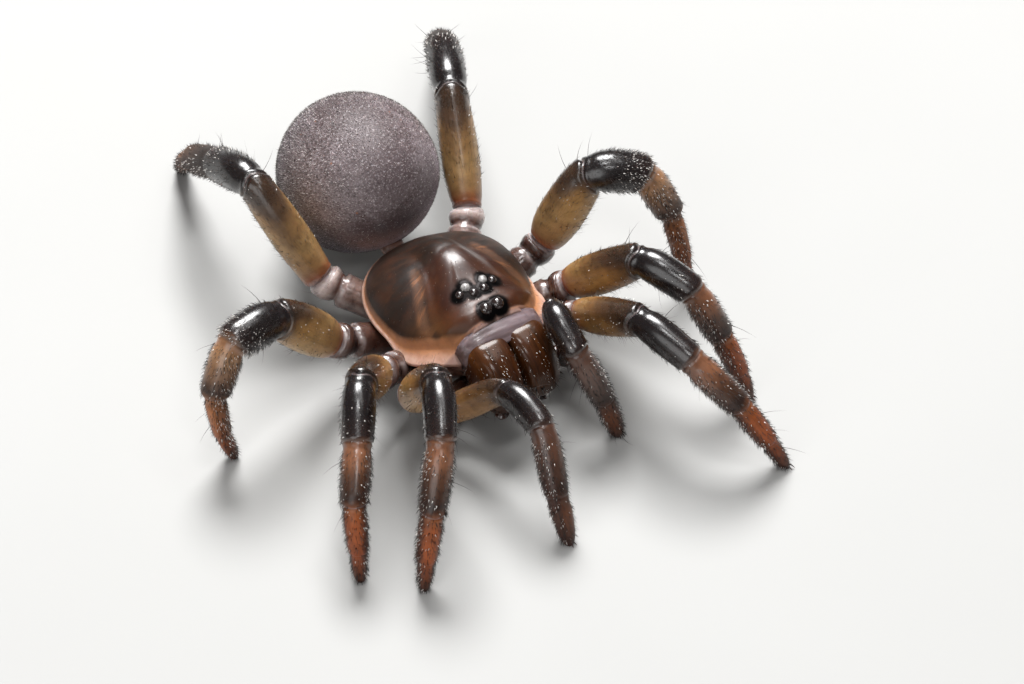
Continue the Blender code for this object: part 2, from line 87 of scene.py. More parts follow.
# Node trees: a Wire is one output socket, and sums written with wires become Math nodes
class Wire:
    def __init__(self, tree, socket):
        self.tree = tree
        self.socket = socket

    def sum(self, operation, left, right):
        return self.tree.node("ShaderNodeMath", {"operation": operation}, {0: left, 1: right})

    def __add__(self, other):
        return self.sum("ADD", self, other)

    def __radd__(self, other):
        return self.sum("ADD", other, self)

    def __sub__(self, other):
        return self.sum("SUBTRACT", self, other)

    def __rsub__(self, other):
        return self.sum("SUBTRACT", other, self)

    def __mul__(self, other):
        return self.sum("MULTIPLY", self, other)

    def __truediv__(self, other):
        return self.sum("DIVIDE", self, other)

    def __pow__(self, other):
        return self.sum("POWER", self, other)

    def out(self, name):
        return Wire(self.tree, self.socket.node.outputs[name])

    def scaled(self, share):
        return self.tree.node("ShaderNodeVectorMath", {"operation": "SCALE"}, {0: self, "Scale": share})

    def plus(self, other):
        return self.tree.node("ShaderNodeVectorMath", {"operation": "ADD"}, {0: self, 1: other})

    def times(self, other):
        return self.tree.node("ShaderNodeVectorMath", {"operation": "MULTIPLY"}, {0: self, 1: other})


class Tree:
    def __init__(self, group):
        self.group = group

    def node(self, kind, settings=None, sockets=None, output=0):
        made = self.group.nodes.new(kind)
        for key, value in (settings or {}).items():
            if key == "stops":
                self.setStops(made.color_ramp, value)
            else:
                setattr(made, key, value)
        for key, value in (sockets or {}).items():
            if isinstance(value, Wire):
                self.group.links.new(value.socket, made.inputs[key])
            else:
                made.inputs[key].default_value = value
        return Wire(self, made.outputs[output])

    def setStops(self, ramp, stops):
        while len(ramp.elements) > 1:
            ramp.elements.remove(ramp.elements[-1])
        for i, (place, colour) in enumerate(stops):
            element = ramp.elements[0] if i == 0 else ramp.elements.new(place)
            element.position = place
            element.color = colour


class Finish(Tree):
    # one material built on its Principled shader, with glow as weight, scale and radii under the surface
    def __init__(self, name, glow=None, **fixed):
        self.material = bpy.data.materials.new(name)
        self.material.use_nodes = True
        super().__init__(self.material.node_tree)
        self.shader = self.group.nodes["Principled BSDF"]
        if glow:
            fixed.update(zip(("Subsurface Weight", "Subsurface Scale", "Subsurface Radius"), glow))
        for key, value in fixed.items():
            self.shader.inputs[key].default_value = value
        place = self.node("ShaderNodeTexCoord", output="Object")
        self.here = place.scaled(perMetre).plus(tuple(-middle * perMetre))

    def give(self, name, wire):
        self.group.links.new(wire.socket, self.shader.inputs[name])

    def spot(self, name, output="Fac"):
        return self.node("ShaderNodeAttribute", {"attribute_name": name}, output=output)

    def noise(self, scale, detail=3.0, rough=0.55, where=None, twist=0.0):
        sockets = {"Scale": scale, "Detail": detail, "Roughness": rough, "Distortion": twist}
        return self.node("ShaderNodeTexNoise", {}, {"Vector": where or self.here, **sockets})

    def cells(self, scale, where=None):
        return self.node("ShaderNodeTexVoronoi", {}, {"Vector": where or self.here, "Scale": scale})

    def step(self, value, low, high, first=0.0, last=1.0):
        sockets = {"Value": value, "From Min": low, "From Max": high, "To Min": first, "To Max": last}
        return self.node("ShaderNodeMapRange", {"interpolation_type": "SMOOTHSTEP"}, sockets)

    def axes(self):
        apart = self.node("ShaderNodeSeparateXYZ", {}, {0: self.here})
        return [apart.out(axis) for axis in "XYZ"]

    def mix(self, share, first, second, how="MIX"):
        first, second = [c if isinstance(c, Wire) else (*c, 1.0) for c in (first, second)]
        settings = {"data_type": "RGBA", "blend_type": how, "clamp_factor": True}
        return self.node("ShaderNodeMix", settings, {0: share, 6: first, 7: second}, 2)

    def paint(self, share, colour, how="MIX"):
        # a further colour over the base so far
        self.base = self.mix(share, self.base, colour, how)

    def ramp(self, share, stops, output="Color"):
        return self.node("ShaderNodeValToRGB", {"stops": stops}, {0: share}, output)

    def bump(self, height, distance, strength=1.0, below=None):
        sockets = {"Height": height, "Distance": distance * mm, "Strength": strength}
        if below:
            sockets["Normal"] = below
        return self.node("ShaderNodeBump", {}, sockets)


# Meshes, from points and faces or from rings.
def makePiece(name, points, faces, finish, spots, unwrap):
    # points in millimetres; spots are values kept on the points; unwrap is one (u, v) for each corner
    mesh = bpy.data.meshes.new(name)
    faces = [list(map(int, face)) for face in faces]
    mesh.from_pydata((np.asarray(points) * mm + middle).tolist(), [], faces)
    for key, values in spots.items():
        values = np.asarray(values, np.float32)
        if values.ndim == 2:
            mesh.attributes.new(key, "FLOAT_VECTOR", "POINT").data.foreach_set("vector", values.ravel())
        else:
            mesh.attributes.new(key, "FLOAT", "POINT").data.foreach_set("value", values)
    mesh.uv_layers.new(name="OFBake").data.foreach_set("uv", np.asarray(unwrap, np.float32).ravel())
    shape = bmesh.new()
    shape.from_mesh(mesh)
    bmesh.ops.recalc_face_normals(shape, faces=shape.faces)
    shape.to_mesh(mesh)
    shape.free()
    mesh.shade_smooth()
    mesh.materials.append(finish)
    return placed(name, mesh)


def placed(name, data):
    made = bpy.data.objects.new(name, data)
    bpy.context.scene.collection.objects.link(made)
    return made


def settle(piece, slot, *nodes):
    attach(piece, "root")
    if nodes:
        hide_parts(*nodes)


capBand = 0.03  # share of a skin's layout that the fan on each end takes


def loft(rings):
    # skin over rings of points (count, sides, 3), each end closed on one middle point
    count, sides = rings.shape[:2]
    i = np.arange(count - 1)[:, None]
    j = np.arange(sides)[None, :]
    k = (j + 1) % sides
    here, ahead = i * sides, (i + 1) * sides
    quads = np.stack(np.broadcast_arrays(here + j, here + k, ahead + k, ahead + j), -1)
    u = np.stack(np.broadcast_arrays(j, j + 1, j + 1, j), -1) / sides
    v = np.stack(np.broadcast_arrays(i, i, i + 1, i + 1), -1) / (count - 1)
    u, v = np.broadcast_arrays(u, v)
    points = list(rings.reshape(-1, 3))
    faces = [list(face) for face in quads.reshape(-1, 4)]
    corners = list(np.stack((u, v * (1 - 2 * capBand) + capBand), -1).reshape(-1, 2))
    for ring, rim, edge in ((0, capBand, 0.0), (count - 1, 1 - capBand, 1.0)):
        points.append(rings[ring].mean(0))
        for a in range(sides):
            first, second = (a, a + 1) if ring else (a + 1, a)
            faces.append([ring * sides + first % sides, ring * sides + second % sides, len(points) - 1])
            corners += [(first / sides, rim), (second / sides, rim), ((a + 0.5) / sides, edge)]
    return np.array(points), faces, np.array(corners)


def spread(values):
    # values of the rings' points, with the two end points added
    values = np.asarray(values, float)
    flat = values.reshape(-1, *values.shape[2:])
    return np.concatenate((flat, [values[0].mean(0)], [values[-1].mean(0)]))


def skinOver(name, rings, finish, slot, nodes=(), spots=None, at=None):
    # a piece lofted over rings; spots hold values of the rings' points, at(points) gives further ones
    points, faces, unwrap = loft(rings)
    spots = {key: spread(value) for key, value in (spots or {}).items()}
    if at:
        spots.update(at(points))
    piece = makePiece(name, points, faces, finish, spots, unwrap)
    settle(piece, slot, *nodes)
    return piece


# Limbs: the line that each follows, as in the solids
limbs = {
    "lengths": {
        0: (3.8, 2.2, 2.65, 2.15),
        1: (4.7, 2.5, 2.7, 2.0, 1.5),
        2: (4.35, 2.35, 2.3, 1.95, 1.45),
        3: (3.9, 2.2, 2.2, 2.3, 1.6),
        4: (4.8, 2.6, 3.0, 2.85, 1.8),
    },
    "hips": ((3.05, -4.2, 1.85), (3.85, -3.35, 2.6), (4.35, -1.95, 2.8), (4.85, 0.6, 2.7), (3.4, 3.75, 2.7)),
    "roots": ((1.08, -3.08, 1.46), (1.8, -2.24, 1.68), (2.14, -1.0, 1.66), (2.12, 0.35, 1.66),
              (1.62, 1.78, 1.66)),
    # yaw and pitch of each segment in degrees, right side -1 and left side 1
    "poses": {
        (4, -1): ((156, 45), (180, -26), (187, -37), (199, -46), (202, -52)),
        (3, -1): ((87, 49), (81, 1), (70, -61), (84, -98), (98, -107)),
        (2, -1): ((46, 41), (35, -27), (37, -36), (18, -73), (14, -83)),
        (1, -1): ((13, 52), (31, -19), (45, -51), (57, -74), (66, -84)),
        (1, 1): ((2, 38), (18, -16), (38, -43), (46, -57), (46, -60)),
        (2, 1): ((24, 44), (28, -19), (37, -60), (41, -66), (46, -73)),
        (3, 1): ((70, 65), (64, -13), (44, -61), (30, -75), (36, -84)),
        (4, 1): ((157, 40), (153, -7), (149, -41), (148, -46), (147, -56)),
        (0, -1): ((-33, 42), (-2, -10), (12, -56), (-4, -68)),
        (0, 1): ((-82, 68), (-2, -25), (52, -66), (64, -74)),
    },
    # half width and half height of each segment
    "girths": {
        0: ((0.48, 0.6), (0.54, 0.6), (0.5, 0.52), (0.42, 0.42)),
        1: ((0.68, 0.82), (0.6, 0.68), (0.55, 0.58), (0.44, 0.45), (0.32, 0.33)),
        2: ((0.68, 0.86), (0.62, 0.68), (0.55, 0.58), (0.43, 0.44), (0.32, 0.33)),
        3: ((0.74, 0.92), (0.74, 0.8), (0.6, 0.62), (0.4, 0.4), (0.3, 0.3)),
        4: ((0.74, 1.04), (0.7, 0.75), (0.6, 0.63), (0.42, 0.43), (0.32, 0.32)),
    },
    "coxae": {
        0: ((0.42, 0.46), (0.5, 0.52)),
        1: ((0.5, 0.62), (0.56, 0.62)),
        2: ((0.58, 0.66), (0.58, 0.64)),
        3: ((0.62, 0.66), (0.62, 0.68)),
        4: ((0.66, 0.68), (0.64, 0.68)),
    },
    # how far before and after each joint the line is rounded
    "legTrims": ((0.8, 1.2), (0.55, 0.55), (0.45, 0.45), (0.3, 0.3)),
    "palpTrims": ((1.1, 1.2), (0.45, 0.45), (0.3, 0.3)),
    "footDepth": -0.05,
    "liftLimit": 25.0,
    "coxaTurn": 0.85,
    "softSide": 0.62,
    "straight": 1000.0,
    "lowest": 0.004,
    "sides": 44,
    "step": 0.12,
    "fineStep": 0.034,
    "fineReach": 0.46,
    # shares of the bristles: all beyond the femur, pale ones beyond the knee, pale ones on the knee; the pale
    # ones are partly real pale spicules and partly painted glints
    "fewer": (1.0, 1.0, 1.0, 1.0, 0.7),
    "paleGlintShare": (0.7, 0.8, 0.8, 0.7, 0.55),
    "onKnob": (0.05, 0.05, 0.12, 1.0, 0.4),
}
halvings = 40
# share of a segment's length, share of its full girth
limbShapes = {
    "coxa": ((0.0, 0.8), (0.12, 0.96), (0.34, 1.0), (0.5, 1.03),
             (0.62, 0.9), (0.75, 1.08), (0.87, 1.06), (0.96, 0.9)),
    "femur": ((0.03, 0.76), (0.08, 0.84), (0.16, 0.91), (0.32, 0.99), (0.52, 1.0),
              (0.7, 0.96), (0.84, 0.9), (0.94, 0.87)),
    "patella": ((0.05, 0.92), (0.18, 1.0), (0.32, 1.04), (0.5, 1.05), (0.72, 1.02), (0.93, 0.96)),
    "tibia": ((0.06, 0.94), (0.2, 1.0), (0.45, 1.03), (0.7, 0.99), (0.93, 0.9)),
    "metatarsus": ((0.06, 0.96), (0.22, 1.02), (0.45, 1.02), (0.7, 0.96), (0.93, 0.88)),
    "tarsus": ((0.06, 0.98), (0.3, 0.99), (0.55, 0.9), (0.78, 0.74), (0.92, 0.56), (1.0, 0.36)),
}
# at each joint: the soft skin's depth and half width, the reach of its side lobes, the lip's rise, paleness
joints = {
    "trochanter": (0.15, 0.05, 0.1, 0.07, 0.35),
    "hip": (0.12, 0.05, 0.06, 0.05, 0.75),
    "knee": (0.12, 0.036, 0.27, 0.05, 0.46),
    "tibia": (0.08, 0.032, 0.08, 0.03, 0.28),
    "metatarsus": (0.11, 0.034, 0.06, 0.04, 0.5),
    "tarsus": (0.05, 0.024, 0.02, 0.015, 0.15),
}
trochanterPlace = 0.62  # share of the coxa's length


class Limb:
    def __init__(self, number, side):
        self.number = number
        self.side = side
        self.lengths = limbs["lengths"][number]
        self.trims = limbs["legTrims"] if number else limbs["palpTrims"]
        hip = limbs["hips"][number]
        pose = limbs["poses"][number, side]
        # the first segment is lifted or lowered until the foot is on the floor
        low, high = -limbs["liftLimit"], limbs["liftLimit"]
        for _ in range(halvings):
            lift = (low + high) / 2
            if self.chain(hip, pose, lift)[-1][2] > limbs["footDepth"]:
                high = lift
            else:
                low = lift
        self.corners = self.chain(hip, pose, (low + high) / 2)
        self.ways = [unit(b - a) for a, b in zip(self.corners[:-1], self.corners[1:])]
        self.across = unit(np.cross(self.ways[0], self.ways[-1] + self.ways[-2]))
        root = limbs["roots"][number]
        self.root = np.array((root[0] * side, root[1], root[2]))
        outward = unit(self.corners[0] - self.root)
        rising = unit(outward + self.ways[0] * 0.6)
        self.turn = self.corners[0] - rising * limbs["coxaTurn"]
        self.hipFace = unit(rising + self.ways[0])
        self.coxaLength = float(np.linalg.norm(self.turn - self.root) + limbs["coxaTurn"]) * 0.97

    def chain(self, hip, pose, lift):
        points = [np.array((hip[0] * self.side, hip[1], hip[2]))]
        for i, (length, (yaw, pitch)) in enumerate(zip(self.lengths, pose)):
            a = math.radians(yaw)
            p = math.radians(pitch + (lift if i == 0 else 0))
            way = np.array((self.side * math.sin(a) * math.cos(p), -math.cos(a) * math.cos(p), math.sin(p)))
            points.append(points[-1] + length * way)
        return points

    def at(self, segment, distance):
        # middle and direction at a distance along a segment, its corners rounded
        length = self.lengths[segment]
        if segment > 0 and distance < self.trims[segment - 1][1]:
            return self.corner(segment, distance)
        if segment < len(self.lengths) - 1 and distance > length - self.trims[segment][0]:
            return self.corner(segment + 1, distance - length)
        return self.corners[segment] + self.ways[segment] * distance, self.ways[segment]

    def corner(self, joint, offset):
        before, after = self.trims[joint - 1]
        a = self.corners[joint] - self.ways[joint - 1] * before
        b = self.corners[joint]
        c = b + self.ways[joint] * after
        u = (offset + before) / (before + after)
        return (1 - u) ** 2 * a + 2 * u * (1 - u) * b + u * u * c, unit((1 - u) * (b - a) + u * (c - b))

    def coxaAt(self, share):
        end = self.corners[0]
        point = (1 - share) ** 2 * self.root + 2 * share * (1 - share) * self.turn + share ** 2 * end
        return point, unit((1 - share) * (self.turn - self.root) + share * (end - self.turn))

    def bend(self, segment, distance):
        # the side that the line bends to, and the radius of the bend
        start, way = self.at(segment, max(distance - 0.1, 0.0))
        end, nextWay = self.at(segment, min(distance + 0.1, self.lengths[segment]))
        swing = math.acos(min(1.0, float(np.dot(way, nextWay))))
        if swing < 0.01:
            return way, limbs["straight"]
        return unit(nextWay - way), float(np.linalg.norm(end - start)) / swing


def stationsAlong(length):
    # distances along a segment, close together near both ends
    fine = min(limbs["fineReach"], length / 2.5)
    ends = np.arange(0, fine, limbs["fineStep"])
    inner = np.linspace(fine, length - fine, max(3, int((length - 2 * fine) / limbs["step"])))
    return np.concatenate((ends, inner, length - ends[::-1]))


def limbLine(limb, lengths, starts):
    # middle, direction, place and distance of each ring, and how the line bends there
    palp = limb.number == 0
    centres, ways, places, alongs, bends = [], [], [], [], []
    for i, length in enumerate(lengths):
        stations = stationsAlong(length)
        for distance in stations[1:] if i else stations:
            if i == 0:
                point, way = limb.coxaAt(distance / length)
                share = rise(distance - length, -0.7, 0.7)
                way = unit(way * (1 - share) + limb.hipFace * share)
                bends.append((way, limbs["straight"]))
            else:
                point, way = limb.at(i - 1, distance)
                if i == 1:
                    share = smoothStep(distance / 1.1)
                    way = unit(limb.hipFace * (1 - share) + way * share)
                bends.append(limb.bend(i - 1, distance))
            centres.append(point)
            ways.append(way)
            alongs.append(starts[i] + distance)
            # a palp has no metatarsus, so its last segment spans two places
            places.append(i + (2 if palp and i == 4 else 1) * distance / length)
    return *map(np.array, (centres, ways, places, alongs)), bends


def limbFrames(limb, ways, alongs, coxa):
    # the frame of each ring turns smoothly from the coxa's own upright to the leg's plane
    across = []
    for way, along in zip(ways, alongs):
        own = limb.across - way * np.dot(limb.across, way)
        flat = np.cross((0.0, 0.0, 1.0), way)
        if np.dot(flat, own) < 0:
            flat = -flat
        share = rise(along - coxa, -0.3, 1.2)
        mean = unit(unit(flat) * (1 - share) + unit(own) * share)
        across.append(unit(mean - way * np.dot(mean, way)))
    across = np.array(across)
    upward = np.cross(ways, across)
    if upward[len(upward) // 3][2] < 0:
        return -across, -upward
    return across, upward


def limbSpots(limb, place, top, side, clear):
    # where each kind of bristle stands, as a share of its full number
    fewer, paleGlintShare, onKnob = (limbs[key][limb.number] for key in ("fewer", "paleGlintShare", "onKnob"))
    dorsal = rise(top, 0.1, 0.6)
    later = fewer * rise(place, 3.0, 0.25)
    knob = rise(place, 2.08, 0.2) * (1 - rise(place, 2.96, 0.1))
    femur = rise(place, 1.12, 0.15) * (1 - rise(place, 1.92, 0.08))
    edge = rise(side, 0.5, 0.4)
    onKnee = 0.8 * fewer ** 2 if limb.number in (3, 4) else 0.35 * edge
    short = later * (0.55 + 0.75 * edge + 0.4 * rise(place, 4.6, 1.0)) + knob * onKnee + 0.1 * femur
    pale = knob * onKnob * rise(place, 2.35, 0.4) + later * paleGlintShare * (0.12 + 0.88 * edge) + 0.1 * femur * edge
    long = bell(place - 2.12, 0.3) * dorsal + 0.5 * bell(place - 3.0, 0.35) * side + 0.35 * later * dorsal
    return {
        "short": short * clear,
        "pale": pale * clear,
        "long": long * clear,
        "fringe": (femur * rise(-top, 0.2, 0.5) + 0.45 * bell(place - 0.8, 0.25) * smoothStep(-top)) * clear,
        "down": (femur + 0.25 * bell(place - 0.5, 0.35)) * clear,
    }


def limbSkin(limb, node, finish):
    lengths = (limb.coxaLength,) + limb.lengths
    starts = np.concatenate(([0.0], np.cumsum(lengths)))
    kinds = [kind for kind in limbShapes if limb.number or kind != "metatarsus"]
    inner, outer = limbs["coxae"][limb.number]
    girths = limbs["girths"][limb.number]
    wide, tall = [], []
    for i, kind in enumerate(kinds):
        for share, scale in limbShapes[kind]:
            girth = [a * (1 - share) + b * share for a, b in zip(inner, outer)] if i == 0 else girths[i - 1]
            wide.append((starts[i] + lengths[i] * share, girth[0] * scale))
            tall.append((starts[i] + lengths[i] * share, girth[1] * scale))
    centres, ways, places, alongs, bends = limbLine(limb, lengths, starts)
    across, upward = limbFrames(limb, ways, alongs, lengths[0])
    angles = 2 * np.pi * (np.arange(limbs["sides"]) + 0.5) / limbs["sides"]
    c, s = np.cos(angles)[None, :], np.sin(angles)[None, :]
    # a neck of soft skin between two lips at each joint
    marks = [(lengths[0] * trochanterPlace, "trochanter")]
    marks += zip(starts[1:], ["hip", "knee"] + kinds[3:])
    whole = np.ones((len(alongs), limbs["sides"]))
    scale = whole.copy()
    soft = np.zeros_like(scale)
    collar = np.zeros_like(scale)
    for mark, kind in marks:
        depth, half, lobe, lip, pale = joints[kind]
        offset = alongs[:, None] - mark + lobe * np.abs(c) ** 1.6
        below = np.clip(-s, 0, 1) ** 2
        half = half + (0.16 if kind == "knee" else 0.05) * below
        scale *= 1 - (depth + 0.05 * below) * bell(offset, half * 1.25)
        scale *= 1 + lip * bell(offset + half + 0.1, 0.09) + 0.6 * lip * bell(offset - half - 0.09, 0.07)
        soft = np.maximum(soft, pale * np.exp(-(offset / (half * 0.95)) ** 4))
        collar = np.maximum(collar, bell(offset + half + 0.09, 0.075))
    halfWide = smoothCurve(wide, alongs)[:, None] * scale
    halfTall = smoothCurve(tall, alongs)[:, None] * scale
    rings = (centres[:, None, :] + across[:, None, :] * (halfWide * c)[..., None]
             + upward[:, None, :] * (halfTall * s)[..., None])
    # the inner side of a tight bend is pressed flat, and nothing goes under the floor
    for i, (side, radius) in enumerate(bends):
        if radius < 50:
            inward = (rings[i] - centres[i]) @ side
            rings[i] -= side * np.maximum(0, inward - limbs["softSide"] * radius)[:, None] * 0.9
    high = np.maximum(rings[..., 2], limbs["lowest"])
    rings[..., 2] = high
    place, top, side = places[:, None] * whole, s * whole, np.abs(c) * whole
    clear = (1 - np.clip(soft * 1.6, 0, 1)) * (high > 0.1)
    spots = {
        "place": place, "top": top, "soft": soft, "collar": collar,
        "grain": np.stack((c * 0.5 * whole, s * 0.5 * whole, alongs[:, None] * whole), -1),
        "flow": np.repeat(ways[:, None, :], limbs["sides"], 1),
        **limbSpots(limb, place, top, side, clear),
    }
    nodes = [node + ending for ending in ("_coxa", "_femur", "_tibia", "_foot")]
    return skinOver(node + "_skin", rings, finish, "femur", nodes, spots)


# Finishes of the limbs: the colour runs along the leg in bands.
# place along the limb (coxa 0-1, femur 1-2, patella 2-3, tibia 3-4, metatarsus 4-5, tarsus 5-6), red, green,
# blue and roughness
lastPlace = 6.0
bands = {
    "frontHip": (
        (0.0, 0.05, 0.02, 0.012, 0.26), (0.36, 0.065, 0.028, 0.018, 0.22), (0.54, 0.11, 0.06, 0.046, 0.2),
        (0.64, 0.018, 0.006, 0.004, 0.2), (0.74, 0.05, 0.02, 0.014, 0.2), (0.86, 0.09, 0.048, 0.038, 0.2),
        (0.97, 0.19, 0.145, 0.14, 0.22),
    ),
    "thirdHip": (
        (0.0, 0.05, 0.02, 0.014, 0.26), (0.36, 0.06, 0.026, 0.018, 0.22), (0.54, 0.09, 0.048, 0.038, 0.2),
        (0.64, 0.016, 0.005, 0.004, 0.2), (0.74, 0.045, 0.019, 0.014, 0.2), (0.86, 0.075, 0.042, 0.034, 0.2),
        (0.97, 0.16, 0.12, 0.115, 0.22),
    ),
    "hindHip": (
        (0.0, 0.12, 0.06, 0.044, 0.26), (0.36, 0.19, 0.115, 0.094, 0.22), (0.54, 0.26, 0.18, 0.16, 0.2),
        (0.64, 0.08, 0.034, 0.026, 0.2), (0.74, 0.48, 0.37, 0.34, 0.2), (0.86, 0.6, 0.5, 0.48, 0.2),
        (0.97, 0.3, 0.23, 0.22, 0.22),
    ),
    "frontFemur": (
        (1.03, 0.24, 0.07, 0.028, 0.3), (1.12, 0.34, 0.18, 0.064, 0.38), (1.36, 0.385, 0.222, 0.08, 0.38),
        (1.57, 0.31, 0.155, 0.05, 0.36), (1.76, 0.085, 0.043, 0.021, 0.32),
    ),
    "palpFemur": (
        (1.03, 0.15, 0.045, 0.02, 0.3), (1.12, 0.2, 0.098, 0.034, 0.38), (1.42, 0.22, 0.108, 0.036, 0.38),
        (1.64, 0.16, 0.078, 0.028, 0.36), (1.84, 0.05, 0.026, 0.014, 0.32),
    ),
    "rearFemur": (
        (1.03, 0.27, 0.088, 0.036, 0.3), (1.12, 0.265, 0.142, 0.058, 0.38), (1.42, 0.4, 0.242, 0.096, 0.38),
        (1.66, 0.33, 0.182, 0.065, 0.36), (1.84, 0.085, 0.047, 0.025, 0.32),
    ),
    "knee": (
        (1.97, 0.012, 0.007, 0.006, 0.28), (2.1, 0.007, 0.004, 0.004, 0.25), (2.6, 0.007, 0.004, 0.004, 0.26),
        (2.92, 0.014, 0.007, 0.006, 0.28),
    ),
    "frontEnd": (
        (3.04, 0.18, 0.074, 0.036, 0.3), (3.26, 0.22, 0.09, 0.043, 0.32), (3.52, 0.09, 0.037, 0.018, 0.32),
        (3.88, 0.022, 0.011, 0.008, 0.32), (4.03, 0.25, 0.08, 0.026, 0.34), (4.25, 0.31, 0.074, 0.015, 0.36),
        (4.7, 0.3, 0.069, 0.014, 0.38), (5.2, 0.185, 0.043, 0.011, 0.4), (5.6, 0.1, 0.026, 0.008, 0.44),
        (6.0, 0.014, 0.007, 0.005, 0.46),
    ),
    "rearEnd": (
        (3.04, 0.26, 0.125, 0.06, 0.32), (3.22, 0.34, 0.185, 0.092, 0.34), (3.5, 0.21, 0.105, 0.05, 0.34),
        (3.86, 0.04, 0.021, 0.014, 0.34), (4.03, 0.29, 0.11, 0.036, 0.36), (4.25, 0.35, 0.116, 0.028, 0.38),
        (4.75, 0.31, 0.09, 0.019, 0.4), (5.2, 0.28, 0.07, 0.016, 0.42), (5.65, 0.12, 0.032, 0.009, 0.44),
        (6.0, 0.016, 0.008, 0.005, 0.46),
    ),
    "hindEnd": (
        (3.04, 0.014, 0.007, 0.005, 0.48), (3.3, 0.022, 0.011, 0.007, 0.55), (3.86, 0.07, 0.034, 0.02, 0.6),
        (4.03, 0.13, 0.06, 0.028, 0.6), (4.4, 0.19, 0.08, 0.032, 0.6), (5.2, 0.16, 0.055, 0.018, 0.6),
        (6.0, 0.016, 0.008, 0.005, 0.6),
    ),
    "palpEnd": (
        (3.04, 0.08, 0.034, 0.02, 0.3), (3.3, 0.105, 0.044, 0.025, 0.32), (3.88, 0.03, 0.014, 0.009, 0.32),
        (4.05, 0.07, 0.024, 0.011, 0.36), (4.7, 0.12, 0.036, 0.011, 0.38), (5.5, 0.075, 0.022, 0.008, 0.42),
        (6.0, 0.014, 0.007, 0.005, 0.46),
    ),
}


def limbFinish(name, stops, rear, clearEnd=4.1):
    # clearEnd is the place where the clear gloss of the knees has gone
    skin = Finish(name, (0.2, 0.0005, (1.0, 0.42, 0.2)),
                  **{"IOR": 1.5, "Specular IOR Level": 0.3, "Coat Roughness": 0.22})
    place = skin.spot("place")
    top = skin.spot("top")
    grain = skin.spot("grain", "Vector")
    wander = skin.noise(1.6, 3.0, 0.6, grain) - 0.5
    share = (place + wander * 0.14) / lastPlace
    shift = skin.step(top, 0.2, 1.0, -0.012, 0.026) * skin.step(place, 1.1, 1.5)
    share = share + shift * skin.step(place, 2.6, 2.2)
    stops = [(at / lastPlace, tone) for at, *tone in stops]
    skin.base = skin.ramp(share, stops)
    rough = skin.ramp(share, stops, "Alpha")
    # lengthwise streaks under the clear shell, and paler flanks on the femur
    streaks = skin.noise(1.0, 4.0, 0.6, grain.times((11.0, 11.0, 1.1)))
    skin.paint(skin.step(streaks, 0.52, 0.8) * 0.3, (0.02, 0.011, 0.007))
    belly = skin.step(top, 0.1, -0.8) * skin.step(place, 1.05, 1.25) * skin.step(place, 1.95, 1.75)
    skin.paint(belly * 0.45, (0.42, 0.27, 0.115) if rear else (0.34, 0.19, 0.08))
    back = skin.step(top, 0.3, 0.92) * skin.step(place, 1.05, 1.5) * skin.step(place, 2.0, 1.9)
    skin.paint(back * 0.58, (0.06, 0.03, 0.014))
    # painted shade: the flanks beyond the knee darker than the top
    shadedFlanks = skin.step(top + (skin.noise(2.4, 3.0, 0.6, grain) - 0.5) * 0.5, 0.98, 0.45)
    shadedFlanks = shadedFlanks * skin.step(place, 3.0, 4.3, 0.3, 1.0) * skin.step(place, 2.96, 3.06)
    skin.paint(shadedFlanks * (0.45 if rear else 0.8), (0.04, 0.012, 0.006))
    clouds = skin.noise(2.6, 4.0, 0.65, grain)
    skin.paint(skin.step(clouds, 0.35, 0.75) * 0.35, (0.05, 0.022, 0.012), "MULTIPLY")
    pits = skin.step(skin.cells(16.0, grain), 0.32, 0.16)
    skin.paint(pits * 0.1, (0.012, 0.008, 0.006))
    # the hip segments: dark red-brown blotches at random, a darker underside that is painted shade, and pale
    # collar caps kept to the upper side as a painted highlight
    hips = skin.step(place, 1.04, 0.96)
    hipBlotch = skin.step(skin.noise(1.5, 4.0, 0.6, grain.times((1.0, 1.0, 1.6))), 0.48, 0.66)
    skin.paint(hipBlotch * hips * 0.6, (0.03, 0.008, 0.005))
    # painted shade: the underside of the hips darker
    skin.paint(skin.step(top, 0.1, -0.5) * hips * 0.55, (0.06, 0.022, 0.014))
    patches = skin.step(skin.noise(1.8, 3.0, 0.5, grain), 0.4, 0.56)
    # painted highlight: the pale collar caps shown only on the upper side
    litCaps = skin.spot("collar") * skin.step(top, -0.1, 0.7)
    skin.paint(litCaps * hips * patches * 0.85, (0.34, 0.295, 0.29))
    # the ribbed soft skin in the joints
    soft = skin.spot("soft")
    ribs = skin.noise(1.0, 2.0, 0.5, grain.times((1.5, 1.5, 16.0)))
    pinkish = skin.mix(skin.step(ribs, 0.3, 0.7), (0.13, 0.07, 0.065), (0.38, 0.3, 0.295))
    skin.paint(skin.step(soft + (skin.noise(4.0, 2.0) - 0.5) * 0.3, 0.1, 0.85) * 0.85, pinkish)
    skin.give("Base Color", skin.base)
    fineNoise = skin.noise(14.0, 3.0, 0.6, grain)
    skin.give("Roughness", rough + (fineNoise - 0.5) * 0.16 + soft * 0.12)
    clear = skin.step(soft, 0.8, 0.2) * skin.step(place, clearEnd, clearEnd - 0.9, 0.03, 0.75)
    skin.give("Coat Weight", clear * (skin.step(place, 1.6, 2.0, 0.32, 1.0) + hips * 0.8))
    wet = skin.bump(skin.noise(3.2, 3.0, 0.5, grain), 0.09, hips * 0.5)
    grainBump = skin.bump(skin.noise(30.0, 3.0, 0.6, grain), 0.012, 0.35, wet)
    ridges = skin.bump(streaks, 0.02, 0.35, grainBump)
    skin.give("Normal", skin.bump(pits, 0.014 if rear else 0.006, 0.45, ridges))
    return skin.material


def bandsOf(*names):
    return sum((bands[name] for name in names), ())


